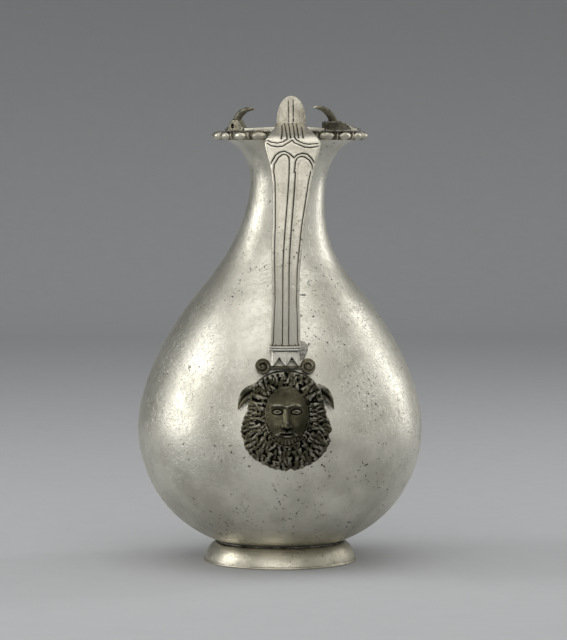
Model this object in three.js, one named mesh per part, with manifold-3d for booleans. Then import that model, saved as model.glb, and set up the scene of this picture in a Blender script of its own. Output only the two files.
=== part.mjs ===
// A silver oinochoe: a one-handled wine jug with a pear-shaped body and a three-lobed mouth.
// Millimetres, +Z up. The handle stands on the -Y side and the spout points along +Y.
// While the pieces are made, the vessel's own axis is x = 0, y = 0 and the table is z = 0.
import * as THREE from "three";
import { mergeVertices } from "three/addons/utils/BufferGeometryUtils.js";
import Module from "manifold-3d";

const wasm = await Module();
wasm.setup();

// Joints between pieces
const SEAM = 0.3; // clearance between two pieces that are soldered or seated together
const SOLDER = 0.5; // thickness of a solder layer
const MASK_BED = 0.86; // share of the mask that its solder bed fills
const SOCKET_SOLDER_SHIFT = 2.6; // the solder has run out to the right of the socket
const SOCKET_SOLDER_WIDTH = 17.4;
const SOCKET_SOLDER_HEIGHT = 9.4;

// Vessel, raised from one sheet of silver
const WALL = 1.2;
const FLOOR_HEIGHT = 5.6; // underside of the bowl's floor
const SEAT_RADIUS = 29.5; // where the bowl sits on the foot
const SEAT_HEIGHT = 9.8;
const BELLY_RADIUS = 68.9;
const BELLY_HEIGHT = 63.5;
const NECK_RADIUS = 18.3;
const NECK_HEIGHT = 178;
const LIP_HEIGHT = 205.6; // underside of the lip at its edge
const NECK_LEAN = 4.8; // the old neck is bent to one side by this much
const LEAN_START = 140;
const LEAN_END = 200;
const BODY_SIDES = 48;

// Stations of the profile between the sizes above: share of the way in radius, share of the way in height
const UNDERBELLY = [[0.368, 0.137], [0.706, 0.375], [0.885, 0.61]];
const SHOULDER = [[0.901, 0.228], [0.7036, 0.41], [0.496, 0.546], [0.261, 0.677], [0.087, 0.817]];
const FLARE = [[0.0375, 0.385], [0.194, 0.63], [0.394, 0.8], [0.725, 0.935]];

// Mouth, seen from above: an arc round the back, pinched on either side of the spout
const MOUTH_RADIUS = 34.3;
const SPOUT_REACH = 41;
const SPOUT_LIFT = 2.2;
const SPOUT_SPREAD = THREE.MathUtils.degToRad(18);
const PINCH_RADIUS = 27.8;
const PINCH_ANGLE = THREE.MathUtils.degToRad(45);
const PINCH_SPREAD = THREE.MathUtils.degToRad(18);

// Bead-and-reel moulding round the lip
const MOULDING_HEIGHT = 4.1;
const MOULDING_BACKING = 1.0;
const BEAD_DEPTH = 2.4;
const BEAD_PITCH = 11;
const BEAD_SHAPE = [
  [0, 0.08], [0.07, 0.72], [0.2, 0.97], [0.42, 0.97],
  [0.55, 0.72], [0.62, 0.08], [0.74, 0.6], [0.88, 0.6],
]; // share of the pitch, share of the depth

// Foot ring
const FOOT_RADIUS = 37.2;
const FOOT_FLANGE = 1.1;
const FOOT_FLANGE_STEP = 0.7;
const FOOT_TREAD = 3.4; // width of the flat ring that it stands on
const FOOT_WALL = 2.4;
const FOOT_SEAT_WIDTH = 3.4;
const FOOT_ROUNDNESS = 1.6; // 2 is a quarter ellipse, less is flatter
const FOOT_SIDES = 48;
const FOOT_ARC_STEPS = 6;
const SOLDER_LUMP = 1.5; // how far the squeezed-out solder stands past the seat
const SOLDER_LUMP_ANGLE = THREE.MathUtils.degToRad(208);

// Strap handle
const PLATE_THICKNESS = 2.6;
const PLATE_OVERHANG = 8; // how far the plate reaches in over the mouth
const PLATE_RISE = 0.4;
const STRAP_THICKNESS = 3.4;
const BEND_REACH = 56; // how far behind the axis the handle turns down
const BEND_HEIGHT = 203;
const HANDLE_LEAN = 3.4; // the handle is bent to the side less than the neck
const STRAP_BOW = 6.5; // how far the strap bows out between its ends
const BOW_POWER = 0.7;
const STRAP_CHANNEL = 0.55; // depth of the two channels down the strap
const PLATE_WIDTHS = [13.2, 14.8, 20];
const BEND_WIDTH = 26.5;
const STRAP_WIDTHS = [
  [0.05, 24.9], [0.13, 20.5], [0.21, 18], [0.41, 15], [0.66, 13.1], [0.8, 12.8], [1, 14.1],
]; // share of the way down, width
const STRAP_STEPS = 30;
const STRAP_STAND = 2.0; // its inner face above the body at the foot
const STRAP_FOOT_HEIGHT = 108.9;
const ARM_WIDTH = 3.4; // the arms run along the lip from the plate to the finials
const ARM_HEIGHT = 2.0;
const ARM_TIP_WIDTH = 2.6;
const ARM_TIP_HEIGHT = 1.3;

// Thumb rest, a leaf that stands on the plate
const THUMB_HEIGHT = 12.6;
const THUMB_WIDTH = 13.2;
const THUMB_THICKNESS = 2.6;
const THUMB_TIP_THICKNESS = 1.0;
const THUMB_INSET = 1.5; // how far inside the lip's edge it stands
const THUMB_LEAN = 2.4; // how far its tip leans over the mouth

// Finials, a horn that curls back over a saddle on the lip, on each side of the handle.
// Angles run along the lip from the handle's line, and the old jug's two sides differ.
const RIGHT_FINIAL = {
  front: 24.7, root: 33.5, shoulder: 39.5, tail: 68, frontHeight: 4.3, height: 4.6, rise: 6.4,
};
const LEFT_FINIAL = {
  front: 40, root: 48.8, shoulder: 51, tail: 62, frontHeight: 1.2, height: 5.4, rise: 4.9,
};
const SADDLE_WIDTH = 4.4;
const SADDLE_TAIL = 1.0;
const SADDLE_PIERCING = 1.15; // radius of the hole through the left saddle
const HORN_REACH = 10.6;
const HORN_WIDTH = 3.6;
const HORN_DEPTH = 4.8; // at its root, along the lip
const HORN_TIP = 0.9;
const HORN_STEPS = 9;

// Socket that holds the strap's foot: a double fillet over a three-pointed calyx
const COLLAR_HEIGHT = 2.3;
const COLLAR_WIDTH = 15.6;
const COLLAR_STEP = 1.1; // how far it stands proud of the strap
const FILLET_DEPTH = 0.7;
const CALYX_HEIGHT = 7.0;
const CALYX_TOP_WIDTH = 12.4;
const CALYX_FOOT_WIDTH = 13.2;
const CALYX_TOP_REACH = 3.4;
const CALYX_FOOT_REACH = 3.9;
const CALYX_NOTCH_AT = 2.9; // from the middle to each notch between its leaves
const CALYX_NOTCH_HEIGHT = 4.0;
const CALYX_RIB = 0.6;

// Volute plate between the calyx and the mask
const VOLUTE_RADIUS = 3.5;
const VOLUTE_THICKNESS = 1.5;
const VOLUTE_RELIEF = 0.9; // height of the scroll ridge over the plate
const VOLUTE_TURNS = 1.6;
const VOLUTE_SPOKES = 20;
const VOLUTE_RINGS = 6;

// Mask of a bearded head with pointed ears
const MASK_HEIGHT = 74.2; // of the mask's middle
const MASK_OUTLINE = [
  [0, 23.2], [26, 22.8], [48, 21], [70, 18.6], [90, 19.8], [109, 21.6], [130, 22.8], [155, 23.3], [180, 23.6],
]; // degrees from the top, radius
const MASK_EDGE = 1.6;
const MASK_DOME = 3.2;
const HAIRLINE = 16.2; // heights over the mask's middle
const BROW = 6.8;
const NOSE_BASE = -2.6;
const CHIN = -12;
const FACE_HALF_WIDTH = 9.6;
const FACE_RISE = 2.2;
const NOSE_RISE = 2.4;
const EAR_ROOT = [12.5, 14.6]; // across and up from the mask's middle
const EAR_TIP = [22, 5];
const EAR_WIDTH = 6.4;
const EAR_THICKNESS = 2.8;
const LOCK_DEPTH = 0.7;
const LOCKS = 18;
const MASK_RINGS = 13;
const MASK_SPOKES = 72;

const UP = new THREE.Vector3(0, 0, 1);
const lerp = THREE.MathUtils.lerp;
const smooth = (value, from, to) => THREE.MathUtils.smoothstep(value, from, to);
const bell = (x) => Math.exp(-x * x);

// Closed solid from sections with the same number of points, each joined to the next.
// A section of one point is a pole. The sections run in a loop if they have no poles.
function loft(sections) {
  const positions = [];
  const triangles = [];
  const first = sections.map((section) => {
    const index = positions.length / 3;
    section.forEach((p) => positions.push(p.x, p.y, p.z));
    return index;
  });
  const loops = sections[0].length > 1;
  const joins = loops ? sections.length : sections.length - 1;
  for (let i = 0; i < joins; i++) {
    const next = (i + 1) % sections.length;
    const [here, there] = [sections[i], sections[next]];
    const sides = Math.max(here.length, there.length);
    for (let j = 0; j < sides; j++) {
      const k = (j + 1) % sides;
      const a = first[i] + (here.length > 1 ? j : 0);
      const b = first[i] + (here.length > 1 ? k : 0);
      const c = first[next] + (there.length > 1 ? j : 0);
      const d = first[next] + (there.length > 1 ? k : 0);
      if (a !== b) triangles.push(a, b, d);
      if (c !== d) triangles.push(a, d, c);
    }
  }
  return facingOut(positions, triangles);
}

// The geometry of a closed mesh, turned inside out if its faces point inwards.
function facingOut(positions, triangles) {
  const at = (i) => new THREE.Vector3().fromArray(positions, i * 3);
  let volume = 0;
  for (let i = 0; i < triangles.length; i += 3) {
    volume += at(triangles[i]).dot(at(triangles[i + 1]).cross(at(triangles[i + 2])));
  }
  const indices = volume < 0 ? triangles.slice().reverse() : triangles;
  const geometry = new THREE.BufferGeometry();
  geometry.setAttribute("position", new THREE.Float32BufferAttribute(positions, 3));
  geometry.setIndex(indices);
  return geometry;
}

// Sections closed with a pole in the middle of the first and the last.
function capped(sections) {
  const middle = (section) => {
    const sum = section.reduce((total, p) => total.add(p), new THREE.Vector3());
    return [sum.divideScalar(section.length)];
  };
  return loft([middle(sections[0]), ...sections, middle(sections[sections.length - 1])]);
}

// A geometry as a solid that can be joined and cut, and back.
function solid(geometry) {
  const bare = geometry.clone();
  bare.deleteAttribute("normal");
  bare.deleteAttribute("uv");
  const merged = mergeVertices(bare, 1e-4);
  return new wasm.Manifold(
    new wasm.Mesh({
      numProp: 3,
      vertProperties: merged.attributes.position.array,
      triVerts: new Uint32Array(merged.index.array),
    }),
  );
}

function geometryOf(manifold) {
  const mesh = manifold.getMesh();
  const geometry = new THREE.BufferGeometry();
  geometry.setAttribute("position", new THREE.Float32BufferAttribute(mesh.vertProperties, 3));
  geometry.setIndex(new THREE.Uint32BufferAttribute(mesh.triVerts, 1));
  return geometry;
}

const joined = (geometries) => geometryOf(geometries.map(solid).reduce((whole, part) => whole.add(part)));

// Natural cubic spline through values at knots.
function naturalSpline(knots, values) {
  const last = knots.length - 1;
  const step = knots.slice(1).map((knot, i) => knot - knots[i]);
  const rise = values.slice(1).map((value, i) => (value - values[i]) / step[i]);
  const bend = new Array(last + 1).fill(0);
  const ratio = new Array(last + 1).fill(0);
  const carried = new Array(last + 1).fill(0);
  for (let i = 1; i < last; i++) {
    const pivot = 2 * (step[i - 1] + step[i]) - step[i - 1] * ratio[i - 1];
    ratio[i] = step[i] / pivot;
    carried[i] = (6 * (rise[i] - rise[i - 1]) - step[i - 1] * carried[i - 1]) / pivot;
  }
  for (let i = last - 1; i > 0; i--) bend[i] = carried[i] - ratio[i] * bend[i + 1];
  return (at) => {
    let i = 0;
    while (i < last - 1 && at > knots[i + 1]) i++;
    const [before, after] = [at - knots[i], knots[i + 1] - at];
    const chord = (values[i] * after + values[i + 1] * before) / step[i];
    const sag = (bend[i] * (step[i] + after) + bend[i + 1] * (step[i] + before)) / 6;
    return chord - (before * after * sag) / step[i];
  };
}

// The vessel's outer profile, from the middle of the floor to the edge of the lip.
const between = (from, to, shares) =>
  shares.map(([inRadius, inHeight]) => [lerp(from[0], to[0], inRadius), lerp(from[1], to[1], inHeight)]);
const floorCentre = [0, FLOOR_HEIGHT];
const seat = [SEAT_RADIUS, SEAT_HEIGHT];
const belly = [BELLY_RADIUS, BELLY_HEIGHT];
const neck = [NECK_RADIUS, NECK_HEIGHT];
const lip = [MOUTH_RADIUS, LIP_HEIGHT];
const floorEdge = [SEAT_RADIUS / 2, lerp(FLOOR_HEIGHT, SEAT_HEIGHT, 0.15)];
const shoulderStations = between(belly, neck, SHOULDER.map(([radius, height]) => [1 - radius, height]));
const stations = [
  floorCentre,
  floorEdge,
  seat,
  ...between(seat, belly, UNDERBELLY),
  belly,
  ...shoulderStations,
  neck,
  ...between(neck, lip, FLARE),
  lip,
];
const stationKnots = stations.reduce((knots, [radius, height], i) => {
  if (i === 0) return [0];
  const [lastRadius, lastHeight] = stations[i - 1];
  return [...knots, knots[i - 1] + Math.hypot(radius - lastRadius, height - lastHeight)];
}, []);
const profileRadius = naturalSpline(stationKnots, stations.map(([radius]) => radius));
const profileHeight = naturalSpline(stationKnots, stations.map(([, height]) => height));

// Direction square to the profile, pointing out of the vessel, as [radial, upward].
function profileNormal(along) {
  const near = 0.01;
  const dr = profileRadius(along + near) - profileRadius(along - near);
  const dz = profileHeight(along + near) - profileHeight(along - near);
  const length = Math.hypot(dr, dz);
  return [dz / length, -dr / length];
}

// The outer profile at a height above the seat: its radius and its outward normal.
function bodyAt(height) {
  let [low, high] = [stationKnots[2], stationKnots[stationKnots.length - 1]];
  for (let i = 0; i < 40; i++) {
    const middle = (low + high) / 2;
    if (profileHeight(middle) < height) low = middle;
    else high = middle;
  }
  return { radius: profileRadius(low), normal: profileNormal(low) };
}

// A point over the body: distance across from the handle's line, its own height, and how far out it stands.
function onBody(across, height, out) {
  let under = height;
  for (let i = 0; i < 3; i++) under = height - out * bodyAt(under).normal[1];
  const { radius, normal } = bodyAt(under);
  const angle = across / radius;
  const reach = radius + out * normal[0];
  return new THREE.Vector3(reach * Math.sin(angle), -reach * Math.cos(angle), height);
}

// The mouth's outline, by the angle from the spout.
const leanAt = (height, lean) => lean * smooth(height, LEAN_START, LEAN_END);
const turned = (angle) => Math.atan2(Math.sin(angle), Math.cos(angle));
function mouthRadius(angle) {
  const from = turned(angle);
  const spout = (SPOUT_REACH - MOUTH_RADIUS) * bell(from / SPOUT_SPREAD);
  const pinches = bell((from - PINCH_ANGLE) / PINCH_SPREAD) + bell((from + PINCH_ANGLE) / PINCH_SPREAD);
  return MOUTH_RADIUS + spout - (MOUTH_RADIUS - PINCH_RADIUS) * pinches;
}
const mouthLift = (angle) => SPOUT_LIFT * bell(turned(angle) / PINCH_ANGLE);

// A point of the vessel at an angle from the spout, from its place on the round profile.
function vesselPoint(angle, radius, height) {
  const opening = smooth(height, NECK_HEIGHT, LIP_HEIGHT);
  const spread = 1 + opening * (mouthRadius(angle) / MOUTH_RADIUS - 1);
  return new THREE.Vector3(
    radius * spread * Math.sin(angle) + leanAt(height, NECK_LEAN),
    radius * spread * Math.cos(angle),
    height + opening * mouthLift(angle),
  );
}

const vesselRing = (radius, height) =>
  Array.from({ length: BODY_SIDES }, (_, k) => vesselPoint((k / BODY_SIDES) * 2 * Math.PI, radius, height));

function vesselBody() {
  const ringAt = (along, inset) => {
    const [outward, upward] = profileNormal(along);
    return vesselRing(profileRadius(along) - inset * outward, profileHeight(along) - inset * upward);
  };
  const stationRows = stationKnots.slice(1);
  const outerRows = stationRows.flatMap((knot, i) => [(stationKnots[i] + knot) / 2, knot]);
  const outer = outerRows.map((row) => ringAt(row, 0));
  const inner = stationRows.map((row) => ringAt(row, WALL));
  const bottom = [new THREE.Vector3(0, 0, FLOOR_HEIGHT)];
  const floor = [new THREE.Vector3(0, 0, FLOOR_HEIGHT + WALL)];
  return loft([bottom, ...outer, ...inner.reverse(), floor]);
}

// Levels at the mouth that the moulding, the plate and the finials share.
const mouldingMiddle = LIP_HEIGHT + WALL / 2;
const mouldingTop = mouldingMiddle + MOULDING_HEIGHT / 2;

// Frame on the mouth's outline at an angle from the spout: a point at a height, and the way out from it.
function mouthFrame(angle, height) {
  const at = (turn) => {
    const radius = mouthRadius(turn);
    return new THREE.Vector3(
      radius * Math.sin(turn) + NECK_LEAN,
      radius * Math.cos(turn),
      height + mouthLift(turn),
    );
  };
  const near = 1e-3;
  const along = at(angle + near).sub(at(angle - near)).setZ(0).normalize();
  return { point: at(angle), along, out: new THREE.Vector3().crossVectors(UP, along) };
}

const placed = ({ point, out }, [outward, upward]) =>
  point.clone().addScaledVector(out, outward).addScaledVector(UP, upward);

function rimMoulding() {
  const samples = 720;
  const angles = Array.from({ length: samples + 1 }, (_, i) => (i / samples) * 2 * Math.PI);
  const points = angles.map((angle) => mouthFrame(angle, mouldingMiddle).point);
  const lengths = points.reduce((all, point, i) => {
    return i === 0 ? [0] : [...all, all[i - 1] + point.distanceTo(points[i - 1])];
  }, []);
  const around = lengths[samples];
  const angleAt = (length) => {
    const i = Math.min(samples - 1, lengths.findIndex((l) => l > length) - 1);
    return lerp(angles[i], angles[i + 1], (length - lengths[i]) / (lengths[i + 1] - lengths[i]));
  };
  const beads = Math.round(around / BEAD_PITCH);
  const half = MOULDING_HEIGHT / 2;
  const side = 0.75;
  const sections = [];
  for (let bead = 0; bead < beads; bead++) {
    for (const [share, bulge] of BEAD_SHAPE) {
      const frame = mouthFrame(angleAt(((bead + share) / beads) * around), mouldingMiddle);
      const front = SEAM + MOULDING_BACKING;
      const depth = bulge * BEAD_DEPTH;
      sections.push(
        [
          [SEAM, -half],
          [SEAM, half],
          [front, half],
          [front + depth * side, half * side],
          [front + depth, 0],
          [front + depth * side, -half * side],
          [front, -half],
        ].map((place) => placed(frame, place)),
      );
    }
  }
  return loft(sections);
}

// Ring about the vessel's axis. The corners of its section at an angle are [radius, height].
function turnedRing(cornersAt, sides) {
  const sections = Array.from({ length: sides }, (_, i) => {
    const angle = (i / sides) * 2 * Math.PI;
    return cornersAt(angle).map(([r, z]) => new THREE.Vector3(r * Math.cos(angle), r * Math.sin(angle), z));
  });
  return loft(sections);
}

// Height of the bowl's underside at a radius near the seat.
function undersideAt(radius) {
  let [low, high] = [0, stationKnots[4]];
  for (let i = 0; i < 40; i++) {
    const middle = (low + high) / 2;
    if (profileRadius(middle) < radius) low = middle;
    else high = middle;
  }
  return profileHeight(low);
}

const solderedJoint = SEAM + SOLDER + SEAM;
const footSeatInner = SEAT_RADIUS - FOOT_SEAT_WIDTH / 2;
const footSeatOuter = SEAT_RADIUS + FOOT_SEAT_WIDTH / 2;

function footRing() {
  const shoulder = FOOT_RADIUS - FOOT_FLANGE_STEP;
  const tread = FOOT_RADIUS - FOOT_TREAD;
  const top = undersideAt(footSeatOuter) - solderedJoint;
  const innerTop = undersideAt(footSeatInner) - solderedJoint;
  const arc = Array.from({ length: FOOT_ARC_STEPS + 1 }, (_, i) => {
    const angle = ((i / FOOT_ARC_STEPS) * Math.PI) / 2;
    const outward = Math.max(0, Math.cos(angle)) ** (2 / FOOT_ROUNDNESS);
    const upward = Math.sin(angle) ** (2 / FOOT_ROUNDNESS);
    return [lerp(footSeatOuter, shoulder, outward), lerp(FOOT_FLANGE, top, upward)];
  });
  const corners = [
    [FOOT_RADIUS, 0],
    [FOOT_RADIUS, FOOT_FLANGE],
    ...arc,
    [footSeatInner, innerTop],
    [footSeatInner, innerTop - FOOT_WALL / 2],
    [footSeatOuter, top - FOOT_WALL],
    [tread, top / 2],
    [tread, 0],
  ];
  return turnedRing(() => corners, FOOT_SIDES);
}

// Solder under the bowl, squeezed out in lumps at one side.
function footSolder() {
  const inner = footSeatInner + SEAM;
  const seatEdge = footSeatOuter - SEAM;
  const cornersAt = (angle) => {
    const away = turned(angle - SOLDER_LUMP_ANGLE);
    const lump = SOLDER_LUMP * bell(away / 0.3) * (0.75 + 0.25 * Math.cos(away * 17));
    const outer = seatEdge + SEAM / 2 + lump;
    return [
      [inner, undersideAt(inner) - SEAM],
      [outer, undersideAt(outer) - SEAM],
      [outer, undersideAt(outer) - SEAM - SOLDER],
      [seatEdge, undersideAt(seatEdge) - SEAM - SOLDER],
      [inner, undersideAt(inner) - SEAM - SOLDER],
    ];
  };
  return turnedRing(cornersAt, FOOT_SIDES);
}

// The handle's middle line, from over the mouth to the socket on the body.
const plateUnderside = mouldingTop + solderedJoint;
const plateMiddle = plateUnderside + PLATE_THICKNESS / 2;
const strapFoot = onBody(0, STRAP_FOOT_HEIGHT, STRAP_STAND + STRAP_THICKNESS / 2);
const BEND_AT = 3 / 9; // share of the line's points before the bend
const bowed = [0.1, 0.25, 0.42, 0.6, 0.8].map((share) => {
  const bow = STRAP_BOW * Math.sin(share * Math.PI) ** BOW_POWER;
  const y = lerp(-BEND_REACH, strapFoot.y, share) - bow;
  return new THREE.Vector3(0, y, lerp(BEND_HEIGHT, strapFoot.z, share));
});
const handleLine = new THREE.CatmullRomCurve3(
  [
    new THREE.Vector3(0, -(MOUTH_RADIUS - PLATE_OVERHANG), plateMiddle + PLATE_RISE),
    new THREE.Vector3(0, -MOUTH_RADIUS - MOULDING_BACKING, plateMiddle),
    new THREE.Vector3(0, -lerp(MOUTH_RADIUS, BEND_REACH, 0.6), lerp(plateMiddle, BEND_HEIGHT, 0.47)),
    new THREE.Vector3(0, -BEND_REACH, BEND_HEIGHT),
    ...bowed,
    strapFoot,
  ],
  false,
  "centripetal",
);

// Place on the handle's line: its middle, the way along it, and the way out of its top face.
function handleFrame(t) {
  const point = handleLine.getPoint(t);
  const along = handleLine.getTangent(t);
  const out = new THREE.Vector3(0, along.z, -along.y);
  point.x = leanAt(point.z, HANDLE_LEAN);
  return { point, along, out };
}

const strapThickness = (t) => lerp(PLATE_THICKNESS, STRAP_THICKNESS, smooth(t, 0, BEND_AT));
const strapWidth = naturalSpline(
  [0, BEND_AT / 3, (2 * BEND_AT) / 3, BEND_AT, ...STRAP_WIDTHS.map(([share]) => lerp(BEND_AT, 1, share))],
  [...PLATE_WIDTHS, BEND_WIDTH, ...STRAP_WIDTHS.map(([, width]) => width)],
);

// The strap's section, as shares of its half width and half thickness; 0 marks the channels' floors.
const STRAP_SECTION = [
  [-0.94, -1], [-1, 0.1], [-0.94, 1], [-0.82, 1], [-0.5, 0], [-0.16, 1],
  [0.16, 1], [0.5, 0], [0.82, 1], [0.94, 1], [1, 0.1], [0.94, -1],
];

function strap() {
  const sections = Array.from({ length: STRAP_STEPS + 1 }, (_, i) => {
    const t = i / STRAP_STEPS;
    const { point, out } = handleFrame(t);
    const halfWidth = strapWidth(t) / 2;
    const halfThickness = strapThickness(t) / 2;
    const channel = STRAP_CHANNEL * smooth(t, BEND_AT, BEND_AT + 0.08);
    return STRAP_SECTION.map(([across, height]) => {
      const rise = height === 0 ? halfThickness - channel : height * halfThickness;
      return new THREE.Vector3(across * halfWidth, 0, 0).add(point).addScaledVector(out, rise);
    });
  });
  return capped(sections);
}

// Bar along the lip on one side (1 right, -1 left) from stations of angle in degrees from the handle's line,
// width and height over its seat on the moulding.
const lipSeat = mouldingTop + SEAM;
const lipMiddle = SEAM + MOULDING_BACKING / 2;
const lipAngle = (side, degrees) => Math.PI - side * THREE.MathUtils.degToRad(degrees);
function lipBar(side, stationsAlong) {
  const sections = stationsAlong.map(({ angle, width, height }) => {
    const frame = mouthFrame(lipAngle(side, angle), lipSeat);
    const bevel = Math.min(0.5, height / 3);
    return [
      [lipMiddle - width / 2, 0],
      [lipMiddle - width / 2, height - bevel],
      [lipMiddle - width / 2 + bevel, height],
      [lipMiddle + width / 2 - bevel, height],
      [lipMiddle + width / 2, height - bevel],
      [lipMiddle + width / 2, 0],
    ].map((place) => placed(frame, place));
  });
  return capped(sections);
}

const seamAngle = THREE.MathUtils.radToDeg(SEAM / MOUTH_RADIUS);

function handle() {
  const start = THREE.MathUtils.radToDeg(Math.asin((PLATE_WIDTHS[1] / 2 - ARM_WIDTH) / MOUTH_RADIUS));
  const arm = (side, finial) => {
    const end = finial.front - seamAngle;
    const stationsAlong = [0, 0.25, 0.5, 0.75, 1].map((share) => ({
      angle: lerp(start, end, share),
      width: lerp(ARM_WIDTH, ARM_TIP_WIDTH, share),
      height: lerp(ARM_HEIGHT, ARM_TIP_HEIGHT, share),
    }));
    return lipBar(side, stationsAlong);
  };
  return joined([strap(), arm(1, RIGHT_FINIAL), arm(-1, LEFT_FINIAL)]);
}

// Limb of oval section: each station has its middle, and half its width and half its depth as vectors.
function limb(stationsAlong) {
  const sides = 10;
  const sections = stationsAlong.map(({ middle, wide, deep }) =>
    Array.from({ length: sides }, (_, k) => {
      const angle = (k / sides) * 2 * Math.PI;
      return middle.clone().addScaledVector(wide, Math.cos(angle)).addScaledVector(deep, Math.sin(angle));
    }),
  );
  return capped(sections);
}

// Height of the plate's top face at a distance behind the axis.
function plateTopAt(reach) {
  let [low, high] = [0, BEND_AT];
  for (let i = 0; i < 40; i++) {
    const middle = (low + high) / 2;
    if (-handleLine.getPoint(middle).y < reach) low = middle;
    else high = middle;
  }
  const { point, out } = handleFrame(low);
  return point.z + strapThickness(low) / 2 / out.z;
}

function thumbRest() {
  const reach = MOUTH_RADIUS - THUMB_INSET;
  const base = Math.max(...[-0.5, 0, 0.5].map((edge) => plateTopAt(reach + edge * THUMB_THICKNESS))) + SEAM;
  const shares = [0, 0.15, 0.35, 0.55, 0.72, 0.86, 0.95, 0.99];
  return limb(
    shares.map((share) => ({
      middle: new THREE.Vector3(HANDLE_LEAN, THUMB_LEAN * share ** 2 - reach, base + THUMB_HEIGHT * share),
      wide: new THREE.Vector3((THUMB_WIDTH / 2) * (1 - share ** 2.6) ** 0.8, 0, 0),
      deep: new THREE.Vector3(0, lerp(THUMB_THICKNESS, THUMB_TIP_THICKNESS, share) / 2, 0),
    })),
  );
}

function finial(side, { front, root, shoulder, tail, frontHeight, height, rise }, pierced) {
  const saddle = lipBar(side, [
    { angle: front, width: SADDLE_WIDTH, height: frontHeight },
    { angle: lerp(front, root, 0.6), width: SADDLE_WIDTH, height },
    { angle: root, width: SADDLE_WIDTH, height },
    { angle: shoulder, width: SADDLE_WIDTH, height },
    { angle: lerp(shoulder, tail, 0.33), width: SADDLE_WIDTH, height: lerp(height, SADDLE_TAIL, 0.62) },
    { angle: lerp(shoulder, tail, 0.66), width: SADDLE_WIDTH * 0.8, height: lerp(height, SADDLE_TAIL, 0.88) },
    { angle: tail, width: SADDLE_WIDTH * 0.5, height: SADDLE_TAIL },
  ]);
  const perMillimetre = THREE.MathUtils.radToDeg(1 / MOUTH_RADIUS);
  const hornPoint = (share) => {
    const turn = (share * Math.PI) / 2;
    const reach = HORN_REACH * (1 - Math.cos(turn)) ** 0.8;
    const up = height - HORN_DEPTH / 4 + (rise + HORN_DEPTH / 4) * Math.sin(turn * 1.12);
    const frame = mouthFrame(lipAngle(side, root - reach * perMillimetre), lipSeat);
    return { middle: placed(frame, [lipMiddle, up]), out: frame.out };
  };
  const horn = limb(
    Array.from({ length: HORN_STEPS + 1 }, (_, i) => {
      const share = i / HORN_STEPS;
      const { middle, out } = hornPoint(share);
      const along = hornPoint(share + 0.01).middle.sub(hornPoint(share - 0.01).middle).normalize();
      const taper = (1 - share) ** 0.75;
      const across = new THREE.Vector3().crossVectors(along, out);
      return {
        middle,
        wide: out.clone().multiplyScalar(lerp(HORN_TIP, HORN_WIDTH, taper) / 2),
        deep: across.multiplyScalar(lerp(HORN_TIP, HORN_DEPTH, taper) / 2),
      };
    }),
  );
  const whole = solid(saddle).add(solid(horn));
  if (!pierced) return geometryOf(whole);
  const frame = mouthFrame(lipAngle(side, lerp(root, shoulder, 0.5)), lipSeat);
  const hole = new THREE.CylinderGeometry(SADDLE_PIERCING, SADDLE_PIERCING, 2 * SADDLE_WIDTH, 12);
  const turnOut = new THREE.Quaternion().setFromUnitVectors(new THREE.Vector3(0, 1, 0), frame.out);
  const middle = placed(frame, [lipMiddle, height * 0.42]);
  hole.applyQuaternion(turnOut).translate(middle.x, middle.y, middle.z);
  return geometryOf(whole.subtract(solid(hole)));
}

// Solder that fills the step between the lip, the moulding and the plate.
function rimSolder() {
  const halfAngle = Math.asin((PLATE_WIDTHS[1] / 2 - ARM_WIDTH - SEAM) / MOUTH_RADIUS);
  const inset = PLATE_OVERHANG / 2;
  const knot = stationKnots[stationKnots.length - 1] - inset;
  const [outward, upward] = profileNormal(knot);
  const lipInset = profileRadius(knot) - WALL * outward - MOUTH_RADIUS;
  const lipTop = profileHeight(knot) - WALL * upward;
  const edgeTop = LIP_HEIGHT + WALL;
  const top = plateUnderside - SEAM;
  const outer = SEAM + MOULDING_BACKING;
  const steps = 8;
  const sections = Array.from({ length: steps + 1 }, (_, i) => {
    const frame = mouthFrame(Math.PI + lerp(-halfAngle, halfAngle, i / steps), 0);
    return [
      [lipInset, lipTop + SEAM],
      [0, edgeTop + SEAM],
      [0, mouldingTop + SEAM],
      [outer, mouldingTop + SEAM],
      [outer, top],
      [lipInset, top],
    ].map((place) => placed(frame, place));
  });
  return capped(sections);
}

// The body as a solid grown by a clearance, which cuts the backs of the pieces that lie against it.
function grownBody(clearance) {
  const rows = stationKnots.slice(1).flatMap((knot, i) => [(stationKnots[i] + knot) / 2, knot]);
  const rings = rows.map((along) => {
    const [outward, upward] = profileNormal(along);
    const radius = profileRadius(along) + clearance * outward;
    const height = profileHeight(along) + clearance * upward;
    return vesselRing(radius, height);
  });
  const top = rings[rings.length - 1];
  const lid = [new THREE.Vector3(NECK_LEAN, 0, top[0].z)];
  return loft([[new THREE.Vector3(0, 0, FLOOR_HEIGHT - clearance)], ...rings, lid]);
}

function handleSocket() {
  const { point, along, out } = handleFrame(1);
  const reach = STRAP_THICKNESS / 2 + COLLAR_STEP;
  const depth = STRAP_THICKNESS + STRAP_STAND + COLLAR_HEIGHT;
  const collarSections = [0, 0.12, 0.38, 0.5, 0.62, 0.88, 1].map((share) => {
    const fillet = FILLET_DEPTH * Math.abs(Math.cos(share * 2 * Math.PI)) ** 2;
    const front = reach - fillet;
    const half = COLLAR_WIDTH / 2 - fillet;
    const middle = point.clone().addScaledVector(along, SEAM + share * COLLAR_HEIGHT);
    return [
      [-half, -depth],
      [-half, front - 1.2],
      [-half * 0.8, front - 0.25],
      [-half * 0.4, front],
      [half * 0.4, front],
      [half * 0.8, front - 0.25],
      [half, front - 1.2],
      [half, -depth],
    ].map(([across, outward]) => new THREE.Vector3(across, 0, 0).add(middle).addScaledVector(out, outward));
  });
  const collar = solid(capped(collarSections));
  const back = solid(grownBody(solderedJoint));
  return geometryOf(collar.add(solid(calyx())).subtract(back));
}

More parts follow.
